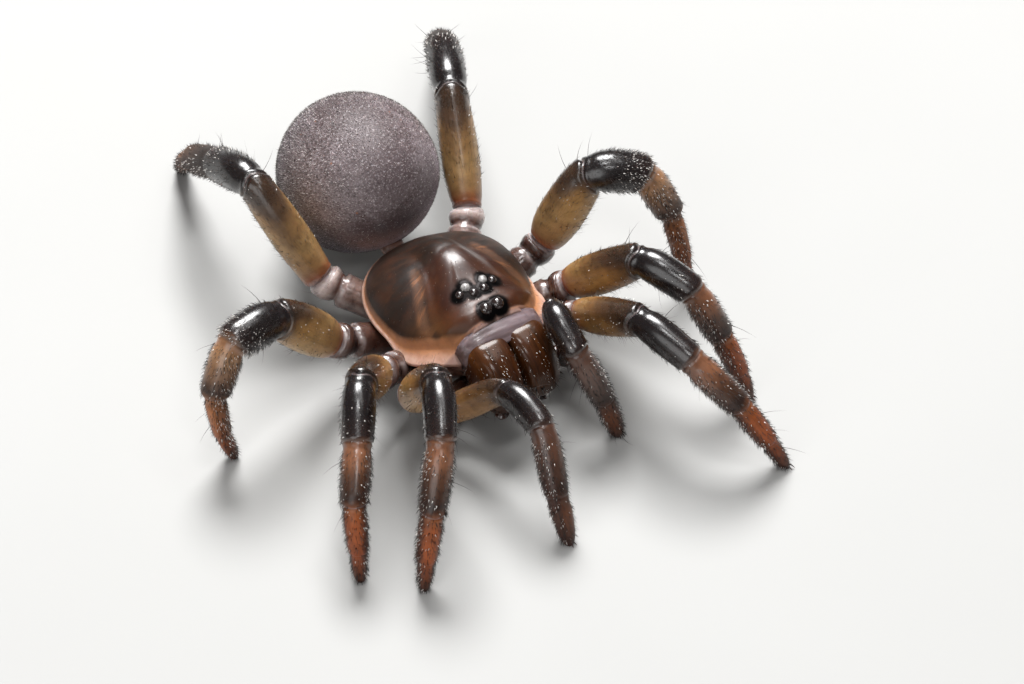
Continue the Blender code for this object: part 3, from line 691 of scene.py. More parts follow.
shellFront = limbFinish("frontLegShell", bandsOf("frontHip", "frontFemur", "knee", "frontEnd"), False)
limbShells = (
    limbFinish("palpShell", bandsOf("frontHip", "palpFemur", "knee", "palpEnd"), False),
    shellFront,
    shellFront,
    limbFinish("thirdLegShell", bandsOf("thirdHip", "rearFemur", "knee", "rearEnd"), True),
    limbFinish("hindLegShell", bandsOf("hindHip", "rearFemur", "knee", "hindEnd"), True, 3.1),
)


def hairFinish(name, dark, light, rough, few=1.0):
    # the higher few is, the fewer strands are light
    hair = Finish(name, IOR=1.55)
    strand = hair.spot("strand") ** few
    hair.give("Base Color", hair.mix(strand + (hair.noise(4.0, 2.0) - 0.5) * 0.3, dark, light))
    hair.give("Roughness", rough + strand * 0.12)
    return hair.material


darkBristle = hairFinish("darkBristle", (0.004, 0.003, 0.003), (0.026, 0.014, 0.009), 0.3)
# pale strands: partly real pale spicules, partly painted glints standing in for light caught by dark bristles
paleGlintBristle = hairFinish("paleGlintBristle", (0.6, 0.54, 0.5), (0.94, 0.92, 0.88), 0.24)
brownHair = hairFinish("brownHair", (0.012, 0.007, 0.005), (0.07, 0.04, 0.024), 0.38)
greyHair = hairFinish("greyHair", (0.03, 0.02, 0.02), (0.95, 0.88, 0.84), 0.28, 5.0)


# Bristles: Geometry Nodes set tapered strands on a skin, each leaning along the skin's flow
strandKeys = ("density", "length", "Spread", "Thickness", "Lean", "Bend", "Stray", "Sides", "Parts", "Finish")
strandInputs = {
    "Skin": None, "Share": 1.0, "Density": 10.0, "Length": 0.3, "Spread": 0.4, "Thickness": 0.05, "Lean": 0.5,
    "Bend": 0.2, "Stray": 0.2, "Sides": 3, "Parts": 2, "Seed": 1, "Finish": None,
}
kindOf = {"Skin": "NodeSocketGeometry", "Finish": "NodeSocketMaterial"}
flowSeed, strandSeed, lengthSeed = 11, 23, 37
seedStep = 101  # between the kinds of one coat
patchSize = 0.003  # side of one strand's part of the skin's layout


def socketOf(group, name, kind, value=None, way="INPUT"):
    made = group.interface.new_socket(name=name, in_out=way, socket_type=kind)
    if value is not None:
        made.default_value = value
    return made.identifier


def strandGroup():
    group = bpy.data.node_groups.new("strands", "GeometryNodeTree")
    tree = Tree(group)
    for name, value in strandInputs.items():
        plain = "NodeSocketInt" if isinstance(value, int) else "NodeSocketFloat"
        socketOf(group, name, kindOf.get(name, plain), value)
    socketOf(group, "Strands", "NodeSocketGeometry", None, "OUTPUT")
    inside = group.nodes.new("NodeGroupInput")

    def given(name):
        return Wire(tree, inside.outputs[name])

    def random(low, high, seed, kind="FLOAT"):
        names = ("Min", "Max") if kind == "FLOAT_VECTOR" else ("Min_001", "Max_001")
        made = group.nodes.new("FunctionNodeRandomValue")
        made.data_type = kind
        for socket in made.inputs:
            if socket.identifier == names[0]:
                socket.default_value = low
            if socket.identifier == names[1]:
                socket.default_value = high
            if socket.identifier == "Seed":
                group.links.new((given("Seed") + seed).socket, socket)
        return Wire(tree, [o for o in made.outputs if o.enabled][0])

    def named(name, kind="FLOAT_VECTOR"):
        return tree.node("GeometryNodeInputNamedAttribute", {"data_type": kind}, {"Name": name})

    def store(geometry, name, value, kind, domain="POINT"):
        sockets = {"Geometry": geometry, "Name": name, "Value": value}
        return tree.node("GeometryNodeStoreNamedAttribute", {"data_type": kind, "domain": domain}, sockets)

    def aligned(vector, settings, sockets):
        return tree.node("FunctionNodeAlignRotationToVector", settings, {"Vector": vector, **sockets})

    def position():
        return tree.node("ShaderNodeSeparateXYZ", {}, {0: tree.node("GeometryNodeInputPosition")})

    density = given("Density") * given("Share") * perMetre ** 2
    scatter = {"Mesh": given("Skin"), "Density": density, "Seed": given("Seed")}
    points = tree.node("GeometryNodeDistributePointsOnFaces", {"distribute_method": "RANDOM"}, scatter)
    flow = named("flow")
    stray = random((-1, -1, -1), (1, 1, 1), flowSeed, "FLOAT_VECTOR").scaled(given("Stray"))
    way = points.out("Normal").scaled(1 - given("Lean")).plus(flow.scaled(given("Lean"))).plus(stray)
    upright = aligned(way, {"axis": "Z"}, {})
    turned = aligned(flow.plus(stray), {"axis": "X", "pivot_axis": "Z"}, {"Rotation": upright})
    kept = store(points, "root", named("OFBake"), "FLOAT_VECTOR")
    kept = store(kept, "strand", random(0.0, 1.0, strandSeed), "FLOAT")
    # one strand: a cone one unit long that bends with its height
    cone = tree.node("GeometryNodeMeshCone", {"fill_type": "NGON"}, {
        "Vertices": given("Sides"), "Side Segments": given("Parts"),
        "Radius Top": 0.0, "Radius Bottom": given("Thickness"), "Depth": 1.0})
    laid = store(cone, "patch", cone.out("UV Map"), "FLOAT2", "CORNER")
    height = position().out("Z")
    curved = tree.node("ShaderNodeCombineXYZ", {}, {"X": height * height * given("Bend")})
    arched = tree.node("GeometryNodeSetPosition", {}, {"Geometry": laid, "Offset": curved})
    size = given("Length") * mm * (1 - given("Spread") * random(0.0, 1.0, lengthSeed))
    strand = {"Points": kept, "Instance": arched, "Rotation": turned, "Scale": size}
    instances = tree.node("GeometryNodeInstanceOnPoints", {}, strand)
    solid = tree.node("GeometryNodeRealizeInstances", {}, {"Geometry": instances})
    # nothing goes under the floor
    low = position()
    lifted = low.out("Z").sum("MAXIMUM", low.out("Z"), 0.01 * mm)
    floorSafe = tree.node("ShaderNodeCombineXYZ", {}, {"X": low, "Y": low.out("Y"), "Z": lifted})
    solid = tree.node("GeometryNodeSetPosition", {}, {"Geometry": solid, "Position": floorSafe})
    # each strand takes a small patch of the skin's own layout
    solid = store(solid, "OFBake", named("root").plus(named("patch").scaled(patchSize)), "FLOAT2", "CORNER")
    solid = tree.node("GeometryNodeSetShadeSmooth", {}, {0: solid})
    solid = tree.node("GeometryNodeSetMaterial", {}, {"Geometry": solid, "Material": given("Finish")})
    out = group.nodes.new("NodeGroupOutput")
    group.links.new(solid.socket, out.inputs[0])
    return group


strands = strandGroup()


def coatTree(name, **rows):
    # one tree for a coat: each kind of strand stands where its own spots say, and has its own named inputs
    kinds = {kind: dict(zip(strandKeys, row)) for kind, row in rows.items()}
    group = bpy.data.node_groups.new(name, "GeometryNodeTree")
    tree = Tree(group)
    socketOf(group, "Skin", "NodeSocketGeometry")
    for kind, sizes in kinds.items():
        for key in strandKeys[:2]:
            socketOf(group, kind + " " + key, "NodeSocketFloat", sizes[key])
    seed = socketOf(group, "Seed", "NodeSocketInt", 1)
    socketOf(group, "Coat", "NodeSocketGeometry", None, "OUTPUT")
    inside = group.nodes.new("NodeGroupInput")
    join = group.nodes.new("GeometryNodeJoinGeometry")
    for i, (kind, sizes) in enumerate(kinds.items()):
        made = group.nodes.new("GeometryNodeGroup")
        made.node_tree = strands
        links = {
            "Skin": Wire(tree, inside.outputs["Skin"]),
            "Share": tree.node("GeometryNodeInputNamedAttribute", {"data_type": "FLOAT"}, {"Name": kind}),
            "Density": Wire(tree, inside.outputs[kind + " density"]),
            "Length": Wire(tree, inside.outputs[kind + " length"]),
            "Seed": Wire(tree, inside.outputs["Seed"]) + (i + 1) * seedStep,
        }
        for key, wire in links.items():
            group.links.new(wire.socket, made.inputs[key])
        for key in strandKeys[2:]:
            made.inputs[key].default_value = sizes[key]
        group.links.new(made.outputs[0], join.inputs[0])
    out = group.nodes.new("NodeGroupOutput")
    group.links.new(join.outputs[0], out.inputs[0])
    return group, seed


def growCoat(skin, coat, name, slot, seed):
    # a copy of the skin grows the coat, and the strands alone are kept as a plain mesh
    group, seedSocket = coat
    helper = placed(name + "Helper", skin.data)
    grower = helper.modifiers.new("coat", "NODES")
    grower.node_group = group
    grower[seedSocket] = seed
    graph = bpy.context.evaluated_depsgraph_get()
    seen = helper.evaluated_get(graph)
    mesh = bpy.data.meshes.new_from_object(seen, preserve_all_data_layers=True, depsgraph=graph)
    helper.modifiers.clear()
    bpy.data.objects.remove(helper, do_unlink=True)
    wanted = ("OFBake", "strand", "position", "material_index", "sharp_face")
    for layer in [a.name for a in mesh.attributes if a.name not in wanted and not a.name.startswith(".")]:
        mesh.attributes.remove(mesh.attributes[layer])
    mesh.name = name
    piece = placed(name, mesh)
    settle(piece, slot)
    return piece


# The ten limbs and their coats. Each kind of strand: number on a square millimetre, length, how much lengths
# differ, thickness as a share of length, lean along the flow, bend, straying, sides, parts and finish.
limbStrands = {
    "short": (62.0, 0.25, 0.45, 0.06, 0.54, 0.1, 0.18, 3, 2, darkBristle),
    "pale": (58.0, 0.12, 0.75, 0.2, 0.4, 0.12, 0.25, 3, 1, paleGlintBristle),
    "long": (1.8, 1.15, 0.5, 0.012, 0.3, 0.22, 0.22, 3, 4, darkBristle),
    "fringe": (10.0, 0.5, 0.5, 0.018, 0.42, 0.2, 0.2, 3, 3, brownHair),
    "down": (26.0, 0.3, 0.4, 0.02, 0.8, 0.05, 0.1, 3, 2, brownHair),
}
limbCoat = coatTree("limbCoat", **limbStrands)
limbTips = []
for number in range(5):
    for side, word in ((1, "left"), (-1, "right")):
        node = ("leg%d_" % number if number else "palp_") + word
        limb = Limb(number, side)
        limbTips.append((limb.corners[0], limb.corners[-1]))
        skin = limbSkin(limb, node, limbShells[number])
        coat = growCoat(skin, limbCoat, node + "_bristles", "tibia", number * 10 + side + 5)
        print(node, "skin", len(skin.data.polygons), "bristle faces", len(coat.data.polygons))

# The shield over the front body: a low dome with the raised head on it, as in the solids.
shield = {
    "halfWidth": 3.15,
    "front": -3.4,
    "widestY": -0.05,
    "reachBack": 3.42,
    "reachAhead": 3.95,
    "ridge": (
        (-3.4, 4.58), (-3.05, 4.89), (-2.4, 4.96), (-1.6, 5.15), (-0.8, 5.46), (0.0, 5.5),
        (0.8, 5.26), (1.6, 4.76), (2.4, 4.06), (2.9, 3.5), (3.35, 2.9),
    ),
    "thoraxDrop": 0.2,
    "blend": 0.09,
    "ledge": 0.11,
    "cornerLedge": 0.15,
    "cornerReach": 0.3,
    "ledgeDrop": 0.05,
    "cornerDrop": 0.4,
    "foveaY": 0.18,
    "foveaDepth": 0.03,
    "rimTurn": ((0.022, 0.03), (0.03, 0.075), (0.018, 0.125), (-0.03, 0.16), (-0.3, 0.17), (-0.9, 0.16)),
    "around": 240,
    "rings": 96,
}
eyeSpots = {
    # x, y and radius of one eye of each pair
    "front": (0.26, -3.0, 0.25),
    "middle": (0.23, -2.14, 0.185),
    "rear": (0.385, -1.79, 0.185),
    "side": (0.735, -1.93, 0.175),
}


def overY(y):
    # y as a share of the shield's reach, which is longer ahead
    reach = np.where(y > shield["widestY"], shield["reachBack"], shield["reachAhead"])
    return np.abs((y - shield["widestY"]) / reach)


def rimHalf(y):
    return shield["halfWidth"] * np.sqrt(np.maximum(0, 1 - overY(y) ** 2.15))


def rimHeight(y):
    return 3.0 + 0.85 * rise(-y, 1.2, 2.2) - 0.12 * rise(y, 1.6, 1.75)


def headHalf(y):
    return np.minimum(rimHalf(y), 2.25 - 1.0 * rise(y, -2.4, 3.1))


def shieldHeight(x, y):
    rim = rimHeight(y)
    ridge = np.maximum(smoothCurve(shield["ridge"], y), rim)

    def arch(half, power):
        return np.sqrt(np.maximum(0, 1 - np.minimum(1, np.abs(x) / np.maximum(half, 0.05)) ** power))

    inward = arch(rimHalf(y), 2.1)
    dome = rim + (ridge - rim) * (1 - shield["thoraxDrop"]) * inward
    head = arch(headHalf(y), 2.3)
    head = rim + (ridge - rim) * head * (1 - 0.5 * shield["thoraxDrop"] * rise(y, 0.6, 1.4))
    # the higher of the two, blended where they meet
    upper, blend = np.maximum(dome, head), shield["blend"]
    return upper + blend * np.log(np.exp((dome - upper) / blend) + np.exp((head - upper) / blend)) * inward


def shieldRelief(x, y, inset):
    # dents and swellings on the smooth shield; inset is the distance to the rim
    arc = y - shield["foveaY"] + 0.55 * x * x
    dent = -shield["foveaDepth"] * bell(arc, 0.15) * (1 - rise(np.abs(x), 0.25, 0.35))
    dent = dent - 0.03 * bell(np.hypot(x, arc * 0.8), 0.5)
    away = np.hypot(x, y - shield["foveaY"])
    turn = np.degrees(np.arctan2(np.abs(x), -(y - shield["foveaY"])))
    rays = np.zeros_like(x)
    for middle, width in ((62, 0.16), (90, 0.18), (120, 0.18), (150, 0.16)):
        rays += bell(np.radians(turn - middle) * away, width)
    rays = -0.016 * rays * rise(away, 0.45, 0.7) * rise(inset, 0.3, 0.8)
    crease = -0.045 * bell(np.abs(x) - headHalf(y) * 0.99, 0.2) * rise(y, -3.2, 0.8) * rise(-y, -0.8, 0.7)
    crease = crease * smoothStep(inset / 0.4)
    hump = 0.05 * np.exp(-((x / 1.0) ** 2 + ((y + 1.95) / 0.6) ** 2))
    hump = hump + 0.02 * np.exp(-((x / 0.6) ** 2 + ((y + 3.0) / 0.4) ** 2))
    sockets = np.zeros_like(x)
    for ex, ey, radius in eyeSpots.values():
        sockets += 0.016 * bell(np.hypot(np.abs(x) - ex, y - ey) - radius * 1.06, 0.045)
    return dent + rays + crease + hump + sockets


def shieldEdge(turn):
    # distance from the middle to the rim for each turn, the front cut straight with round corners
    low, high = np.zeros_like(turn), np.full_like(turn, 5.0)
    for _ in range(halvings):
        reach = (low + high) / 2
        x, y = reach * np.cos(turn), reach * np.sin(turn)
        along = np.abs(y / np.where(y > 0, shield["reachBack"], shield["reachAhead"])) ** 2.15
        within = (x / shield["halfWidth"]) ** 2 + along < 1
        low, high = np.where(within, reach, low), np.where(within, high, reach)
    toFront = (shield["widestY"] - shield["front"]) / np.maximum(-np.sin(turn), 0.2)
    cut = np.where(np.sin(turn) < -0.2, toFront, 9.0)
    return -np.log(np.exp(-reach * 14) + np.exp(-cut * 14)) / 14


def shieldSkin(finish):
    turn = 2 * np.pi * np.arange(shield["around"]) / shield["around"]
    across, along = np.cos(turn), np.sin(turn)
    reach = shieldEdge(turn)
    share = np.sin(np.linspace(0.012, 1, shield["rings"]) * np.pi / 2) ** 0.85
    away = share[:, None] * reach[None, :]
    x, y = away * across, away * along + shield["widestY"]
    inset = reach[None, :] * (1 - share[:, None])
    # the dome stops short of the rim and leaves a thin ledge, widest at the front corners
    rimX, rimY = reach * across, reach * along + shield["widestY"]
    ledge = shield["ledge"] + shield["cornerLedge"] * rise(-rimY, 0.9, 1.6) * rise(np.abs(rimX), 1.2, 0.6)
    grown = np.minimum(share[:, None] * reach / (reach - 0.85 * ledge), 1.0)
    domeAway = grown * reach
    dome = shieldHeight(domeAway * across, domeAway * along + shield["widestY"])
    relief = shieldRelief(x, y, inset)
    z = np.where(grown < 1, dome, rimHeight(rimY)[None, :]) + relief
    frontWall = rise(-rimY, 3.1, 0.25) * rise(-np.abs(rimX), -1.5, 0.5)
    z = z * (1 - frontWall) + (shieldHeight(x, y) + relief) * frontWall
    # the ledge slopes outward, and hangs lowest at the front corners
    corner = rise(-rimY, 0.4, 1.8) * rise(np.abs(rimX), 0.9, 0.7)
    slope = np.clip(1 - inset / ledge, 0, 1) * (1 - frontWall)
    x = x + across * shield["cornerReach"] * corner * slope
    y = y + along * shield["cornerReach"] * corner * slope
    z = z - (shield["ledgeDrop"] + shield["cornerDrop"] * corner) * slope
    rings = list(np.stack((x, y, z), -1))
    rim = rings[-1]
    out = np.stack((across, along, np.zeros_like(turn)), -1)
    insets = list(inset)
    # the rim turns over and in again
    for outward, down in shield["rimTurn"]:
        ring = rim + out * outward
        ring[:, 2] = rim[:, 2] - down
        rings.append(ring)
        insets.append(np.full_like(turn, max(0.0, -outward)))
    rings = np.array(rings)
    x, y = rings[..., 0], rings[..., 1]
    inset = np.array(insets)
    eyeNear = np.full_like(x, 9.0)
    for ex, ey, radius in eyeSpots.values():
        eyeNear = np.minimum(eyeNear, np.hypot(np.abs(x) - ex, y - ey) - radius)
    top = np.broadcast_to((np.arange(len(rings)) < len(share))[:, None], x.shape) * 1.0
    flow = np.stack((x * 0.3, -np.ones_like(x), -0.35 * np.ones_like(x)), -1)
    flow /= np.linalg.norm(flow, axis=-1, keepdims=True)
    head = rise(headHalf(y) * 0.97 - np.abs(x), 0.0, 0.25) * rise(-y, -0.7, 1.2)
    groove = bell(np.abs(x) - headHalf(y) * 1.05, 0.26) * rise(y, -3.0, 1.0) * rise(-y, -0.7, 0.6)
    clear = top * rise(eyeNear, 0.1, 0.1)
    onHead = bell(np.abs(x), 0.35) * head * 0.6
    long = onHead + 1.4 * bell(eyeNear - 0.25, 0.16) + 0.9 * bell(y + 3.28, 0.12)
    spots = {
        "inset": inset,
        "band": np.clip(inset / ledge, 0, 4),
        "head": head,
        "eyeNear": eyeNear,
        "flow": flow,
        "groove": groove,
        "short": clear * (0.5 * bell(inset - 0.1, 0.14) + 0.12 * (1 - head) + 0.05),
        "long": clear * long,
    }
    return skinOver("shield_skin", rings, finish, "carapace", ["carapace"], spots)


def shieldFinish():
    shell = Finish("shieldShell", (0.12, 0.0006, (1.0, 0.35, 0.15)),
                   **{"IOR": 1.5, "Specular IOR Level": 0.3, "Coat Roughness": 0.3, "Coat IOR": 1.45})
    _, y, z = shell.axes()
    fromFovea = shell.here.plus((0.0, -0.2, 0.0)).times((1.0, 1.0, 0.0))
    away = shell.node("ShaderNodeVectorMath", {"operation": "LENGTH"}, {0: fromFovea}, "Value")
    ray = shell.node("ShaderNodeVectorMath", {"operation": "NORMALIZE"}, {0: fromFovea})

    def rayPlace(turns, reach):
        return ray.scaled(turns).plus(shell.node("ShaderNodeCombineXYZ", {}, {"X": away * reach}))

    head = shell.spot("head")
    wander = shell.noise(1.2, 4.0, 0.6)
    shell.base = shell.mix(shell.step(wander, 0.35, 0.68), (0.01, 0.0036, 0.0014), (0.029, 0.0095, 0.0034))
    clouds = shell.step(shell.noise(0.8, 3.0), 0.35, 0.7)
    shell.paint(head, shell.mix(clouds, (0.026, 0.006, 0.002), (0.052, 0.014, 0.003)))
    # warmer towards the low front corners of the head
    warm = shell.step(z, 4.75, 3.95) * shell.step(y, -0.8, -2.4)
    shell.paint(warm * 0.75, (0.095, 0.04, 0.013))
    # fine rays along the groove beside the head, fainter ones over the back part
    fine = shell.noise(1.0, 4.0, 0.62, rayPlace(11.0, 0.55))
    beside = shell.step(shell.spot("groove"), 0.15, 0.9)
    rays = shell.step(fine, 0.5, 0.7) * shell.step(away, 0.25, 0.9) * shell.step(away, 3.3, 2.4)
    shell.paint(beside * 0.45, (0.11, 0.04, 0.013))
    shell.paint(rays * (beside * 0.8 + (1 - head) * 0.07), (0.22, 0.08, 0.026))
    # soft dark clouds over the back part
    cloud = shell.noise(1.0, 5.0, 0.68, rayPlace(3.2, 1.3), 0.6)
    cloudy = shell.step(cloud, 0.44, 0.62) * (1 - head * 0.8) * (1 - beside * 0.7)
    shell.paint(cloudy * 0.8, (0.011, 0.006, 0.004))
    # pale margin, wide at the front corners and darker behind
    ledge = shell.spot("band") + (shell.noise(3.0, 3.0) - 0.5) * 0.25
    margin = shell.mix(shell.step(ledge, 0.75, 0.15), (0.5, 0.225, 0.105), (0.6, 0.38, 0.3))
    margin = shell.mix(shell.step(shell.noise(3.5, 4.0), 0.35, 0.7) * 0.4, margin, (0.36, 0.16, 0.09))
    margin = shell.mix(shell.step(y, -1.2, 1.6) * 0.6, margin, (0.075, 0.032, 0.018))
    shell.paint(shell.step(ledge, 1.5, 0.75) * 0.95, margin)
    front = shell.step(y, -3.2, -3.36) * shell.step(shell.spot("inset"), 0.4, 0.15)
    shell.paint(front * 0.85, (0.25, 0.155, 0.135))
    black = shell.step(shell.spot("eyeNear") + (shell.noise(4.0, 3.0) - 0.5) * 0.1, 0.29, 0.1)
    shell.paint(black, (0.005, 0.004, 0.004))
    # small pale grains along the head's ridge, partly real specks and partly painted glints
    glint = shell.step(shell.cells(6.5), 0.11, 0.05) * shell.step(z, 4.6, 5.1)
    shell.paint(glint * 0.55, (0.55, 0.5, 0.46))
    shell.give("Base Color", shell.base)
    grit = shell.noise(12.0, 4.0, 0.65)
    snout = shell.step(y, -1.5, -2.2)
    shell.give("Roughness", 0.52 - head * 0.12 + beside * 0.16 + (grit - 0.5) * 0.2 - black * 0.1)
    shell.give("Metallic", black * 0.85)
    crown = shell.step(z, 4.4, 5.1)
    shell.give("Coat Weight", (0.05 + head * crown * 0.85 - snout * 0.55) * (1 - black))
    soft = shell.bump(shell.noise(1.7, 2.0, 0.5), 0.03, 0.2)
    lines = shell.bump(fine, 0.022, (rays * 0.2 + beside * 0.5), soft)
    pores = shell.bump(shell.step(shell.cells(9.0), 0.18, 0.06), 0.006, 0.4, lines)
    shell.give("Normal", shell.bump(grit, 0.01, 0.45, pores))
    return shell.material


bodyStrands = {
    "short": (18.0, 0.16, 0.5, 0.05, 0.62, 0.12, 0.2, 3, 2, brownHair),
    "pale": (20.0, 0.16, 0.5, 0.05, 0.62, 0.12, 0.2, 3, 2, paleGlintBristle),
    "long": (2.4, 0.55, 0.5, 0.02, 0.35, 0.25, 0.2, 3, 4, darkBristle),
    "thorn": (9.0, 0.3, 0.3, 0.13, 0.45, 0.12, 0.1, 6, 3, darkBristle),
}
bodyCoat = coatTree("bodyCoat", **bodyStrands)
shieldPiece = shieldSkin(shieldFinish())
growCoat(shieldPiece, bodyCoat, "shield_bristles", "carapace", 71)
print("shield done")


# Eyes: eight glossy domes let into the shield, the rear middle pair pearly.
def eyeFinish(name, dark, light):
    eye = Finish(name, **{"IOR": 1.55, "Coat Weight": 1.0, "Coat Roughness": 0.05, "Specular IOR Level": 0.5})
    # painted sheen: the base colour is paler where the dome faces the viewer and darker towards its rim
    facing = eye.node("ShaderNodeLayerWeight", {}, {"Blend": 0.35}, "Facing")
    eye.give("Base Color", eye.mix(eye.step(eye.noise(6.0, 2.0) + facing * 0.4, 0.3, 1.0), light, dark))
    eye.give("Roughness", 0.05 + eye.noise(9.0, 2.0) * 0.05)
    return eye.material


darkEye = eyeFinish("darkEye", (0.004, 0.003, 0.004), (0.022, 0.012, 0.01))
pearlEye = eyeFinish("pearlEye", (0.03, 0.025, 0.025), (0.4, 0.38, 0.37))
eyeball = {"rings": 20, "sides": 28, "depth": 0.86, "sunk": 0.06, "probe": 0.02}


def eyeRings(centre, out, radius):
    across = unit(np.cross(out, (0.0, 1.0, 0.2)))
    upward = np.cross(out, across)
    a = np.linspace(0.06, np.pi - 0.06, eyeball["rings"])
    t = 2 * np.pi * np.arange(eyeball["sides"]) / eyeball["sides"]
    girth = np.sin(a)[:, None]
    return (centre + out * (np.cos(a) * (radius * eyeball["depth"]))[:, None, None]
            + across * (girth * np.cos(t) * radius)[..., None]
            + upward * (girth * np.sin(t) * radius)[..., None])


for kind, (x, y, radius) in eyeSpots.items():
    for side, word in ((1, "left"), (-1, "right")):
        # the shield's height at the eye and a little beside and behind it gives the way the eye looks
        probe = eyeball["probe"]
        px = np.array([x * side, x * side + probe, x * side])
        py = np.array([y, y, y + probe])
        pz = shieldHeight(px, py) + shieldRelief(px, py, np.full(3, 2.0))
        out = unit(np.cross((probe, 0, pz[1] - pz[0]), (0, probe, pz[2] - pz[0])))
        centre = np.array((px[0], py[0], pz[0])) - out * radius * eyeball["sunk"]
        node = "eye_" + kind + "_" + word
        finish = pearlEye if kind == "rear" else darkEye
        skinOver(node + "_dome", eyeRings(centre, out, radius), finish, "eye", [node])
print("eyes done")


# Soft skin and plain shell used on the smaller pieces of the body.
def shellFinish(name, dark, light, rough, coat, grain=(1.0, 1.0, 1.0), scale=2.0, depth=0.02):
    shell = Finish(name, (0.15, 0.0005, (1.0, 0.4, 0.2)), **{"IOR": 1.5, "Coat Roughness": 0.08})
    where = shell.here.times(grain)
    tone = shell.noise(scale, 5.0, 0.62, where, 0.4)
    shell.base = shell.mix(shell.step(tone, 0.32, 0.68), dark, light)
    specks = shell.step(shell.noise(scale * 4.5, 3.0, 0.6), 0.58, 0.75)
    shell.paint(specks * 0.35, tuple(c * 0.35 for c in dark))
    shell.give("Base Color", shell.base)
    shell.give("Roughness", rough + (tone - 0.5) * 0.2)
    shell.give("Coat Weight", coat + (tone - 0.5) * 0.1)
    below = shell.bump(tone, depth, 0.5)
    shell.give("Normal", shell.bump(shell.noise(12.0, 4.0, 0.6, where), depth * 0.6, 0.4, below))
    return shell.material


softSkin = shellFinish("softSkin", (0.06, 0.024, 0.016), (0.19, 0.095, 0.07), 0.3, 0.5,
                       (1.0, 1.6, 1.6), 2.2, 0.08)
foldSkin = shellFinish("frontFold", (0.075, 0.048, 0.048), (0.175, 0.128, 0.138), 0.34, 0.35,
                       (0.35, 3.0, 3.0), 1.0, 0.014)
plateShell = shellFinish("underPlate", (0.12, 0.05, 0.022), (0.22, 0.105, 0.05), 0.3, 0.5)
spinnerSkin = shellFinish("spinnerSkin", (0.16, 0.105, 0.08), (0.33, 0.24, 0.195), 0.42, 0.15)
fangShell = shellFinish("fangShell", (0.01, 0.004, 0.003), (0.045, 0.012, 0.006), 0.16, 0.9)


def ovalRings(centres, ways, wide, tall, sides, across=(1.0, 0.0, 0.0), squareness=2.0):
    # rings of a loft along a line, flat side to side
    t = 2 * np.pi * (np.arange(sides) + 0.5) / sides
    c, s = np.cos(t), np.sin(t)
    c, s = np.sign(c) * np.abs(c) ** (2 / squareness), np.sign(s) * np.abs(s) ** (2 / squareness)
    rings = []
    for centre, way, w, h in zip(centres, ways, wide, tall):
        side = unit(np.asarray(across) - way * np.dot(across, way))
        upward = np.cross(side, way)
        rings.append(np.asarray(centre) + side * (w * c)[:, None] + upward * (h * s)[:, None])
    return np.array(rings)


def uprightRings(y, half, low, high, sides, squareness):
    # rings that stand across the body at each y, from low to high
    centres = np.stack((np.zeros_like(y), y, (low + high) / 2), -1)
    ways = [np.array((0.0, 1.0, 0.0))] * len(y)
    return ovalRings(centres, ways, half, (high - low) / 2, sides, squareness=squareness)


# Soft sides between the shield's rim and the hips, closed below by the plate.
core = {
    "front": -3.25,
    "back": 2.95,
    "inset": 0.5,
    "widest": 2.5,
    "squareness": 2.8,
    "sides": 96,
    "rings": 70,
}
y = np.linspace(core["front"], core["back"], core["rings"])
half = np.clip(np.minimum(rimHalf(y) - core["inset"], core["widest"]), 0.12, None)
half = half * (1 - 0.55 * rise(y, 2.2, 0.8))
low = 1.28 + 0.55 * rise(y, 1.6, 1.3) + 0.5 * rise(-y, 2.5, 0.8)
high = rimHeight(y) + 0.1 - 0.45 * rise(y, 2.2, 0.8)
rings = uprightRings(y, half, low, high, core["sides"], core["squareness"])
creases = 0.022 * np.sin(rings[..., 2] * 14 + 1.6 * np.sin(y * 3)[:, None])
rings[..., 0] *= 1 + creases + 0.03 * np.sin(y * 4.2)[:, None]
skinOver("body_sides", rings, softSkin, "sternum")

plate = {
    # y, half width, low and high
    "stations": (
        (-3.1, 0.3, 1.45, 2.05), (-3.02, 0.5, 1.3, 2.3), (-2.78, 0.64, 1.18, 2.45),
        (-2.62, 0.7, 1.24, 2.5), (-2.5, 1.05, 1.1, 2.5), (-2.0, 1.46, 1.02, 2.5),
        (-1.0, 1.8, 0.96, 2.5), (0.0, 1.84, 0.95, 2.5), (1.0, 1.58, 0.98, 2.5),
        (1.75, 1.1, 1.08, 2.5), (2.2, 0.66, 1.3, 2.4), (2.35, 0.34, 1.55, 2.2),
    ),
    "squareness": 3.0,
    "hairyBelow": 1.6,
    "sides": 72,
    "rings": 90,
}


def plateSpots(points):
    below = (points[:, 2] < plate["hairyBelow"]) * 1.0
    return {"short": below * 0.8, "long": below * 0.5, "flow": np.tile((0.0, -0.8, -0.6), (len(points), 1))}


rows = np.array(plate["stations"])
y = np.linspace(rows[0, 0], rows[-1, 0], plate["rings"])
half, low, high = (smoothCurve(rows[:, (0, k)], y) for k in (1, 2, 3))
rings = uprightRings(y, half, low, high, plate["sides"], plate["squareness"])
platePiece = skinOver("under_plate", rings, plateShell, "sternum", ["sternum"], at=plateSpots)
growCoat(platePiece, bodyCoat, "under_plate_bristles", "sternum", 72)

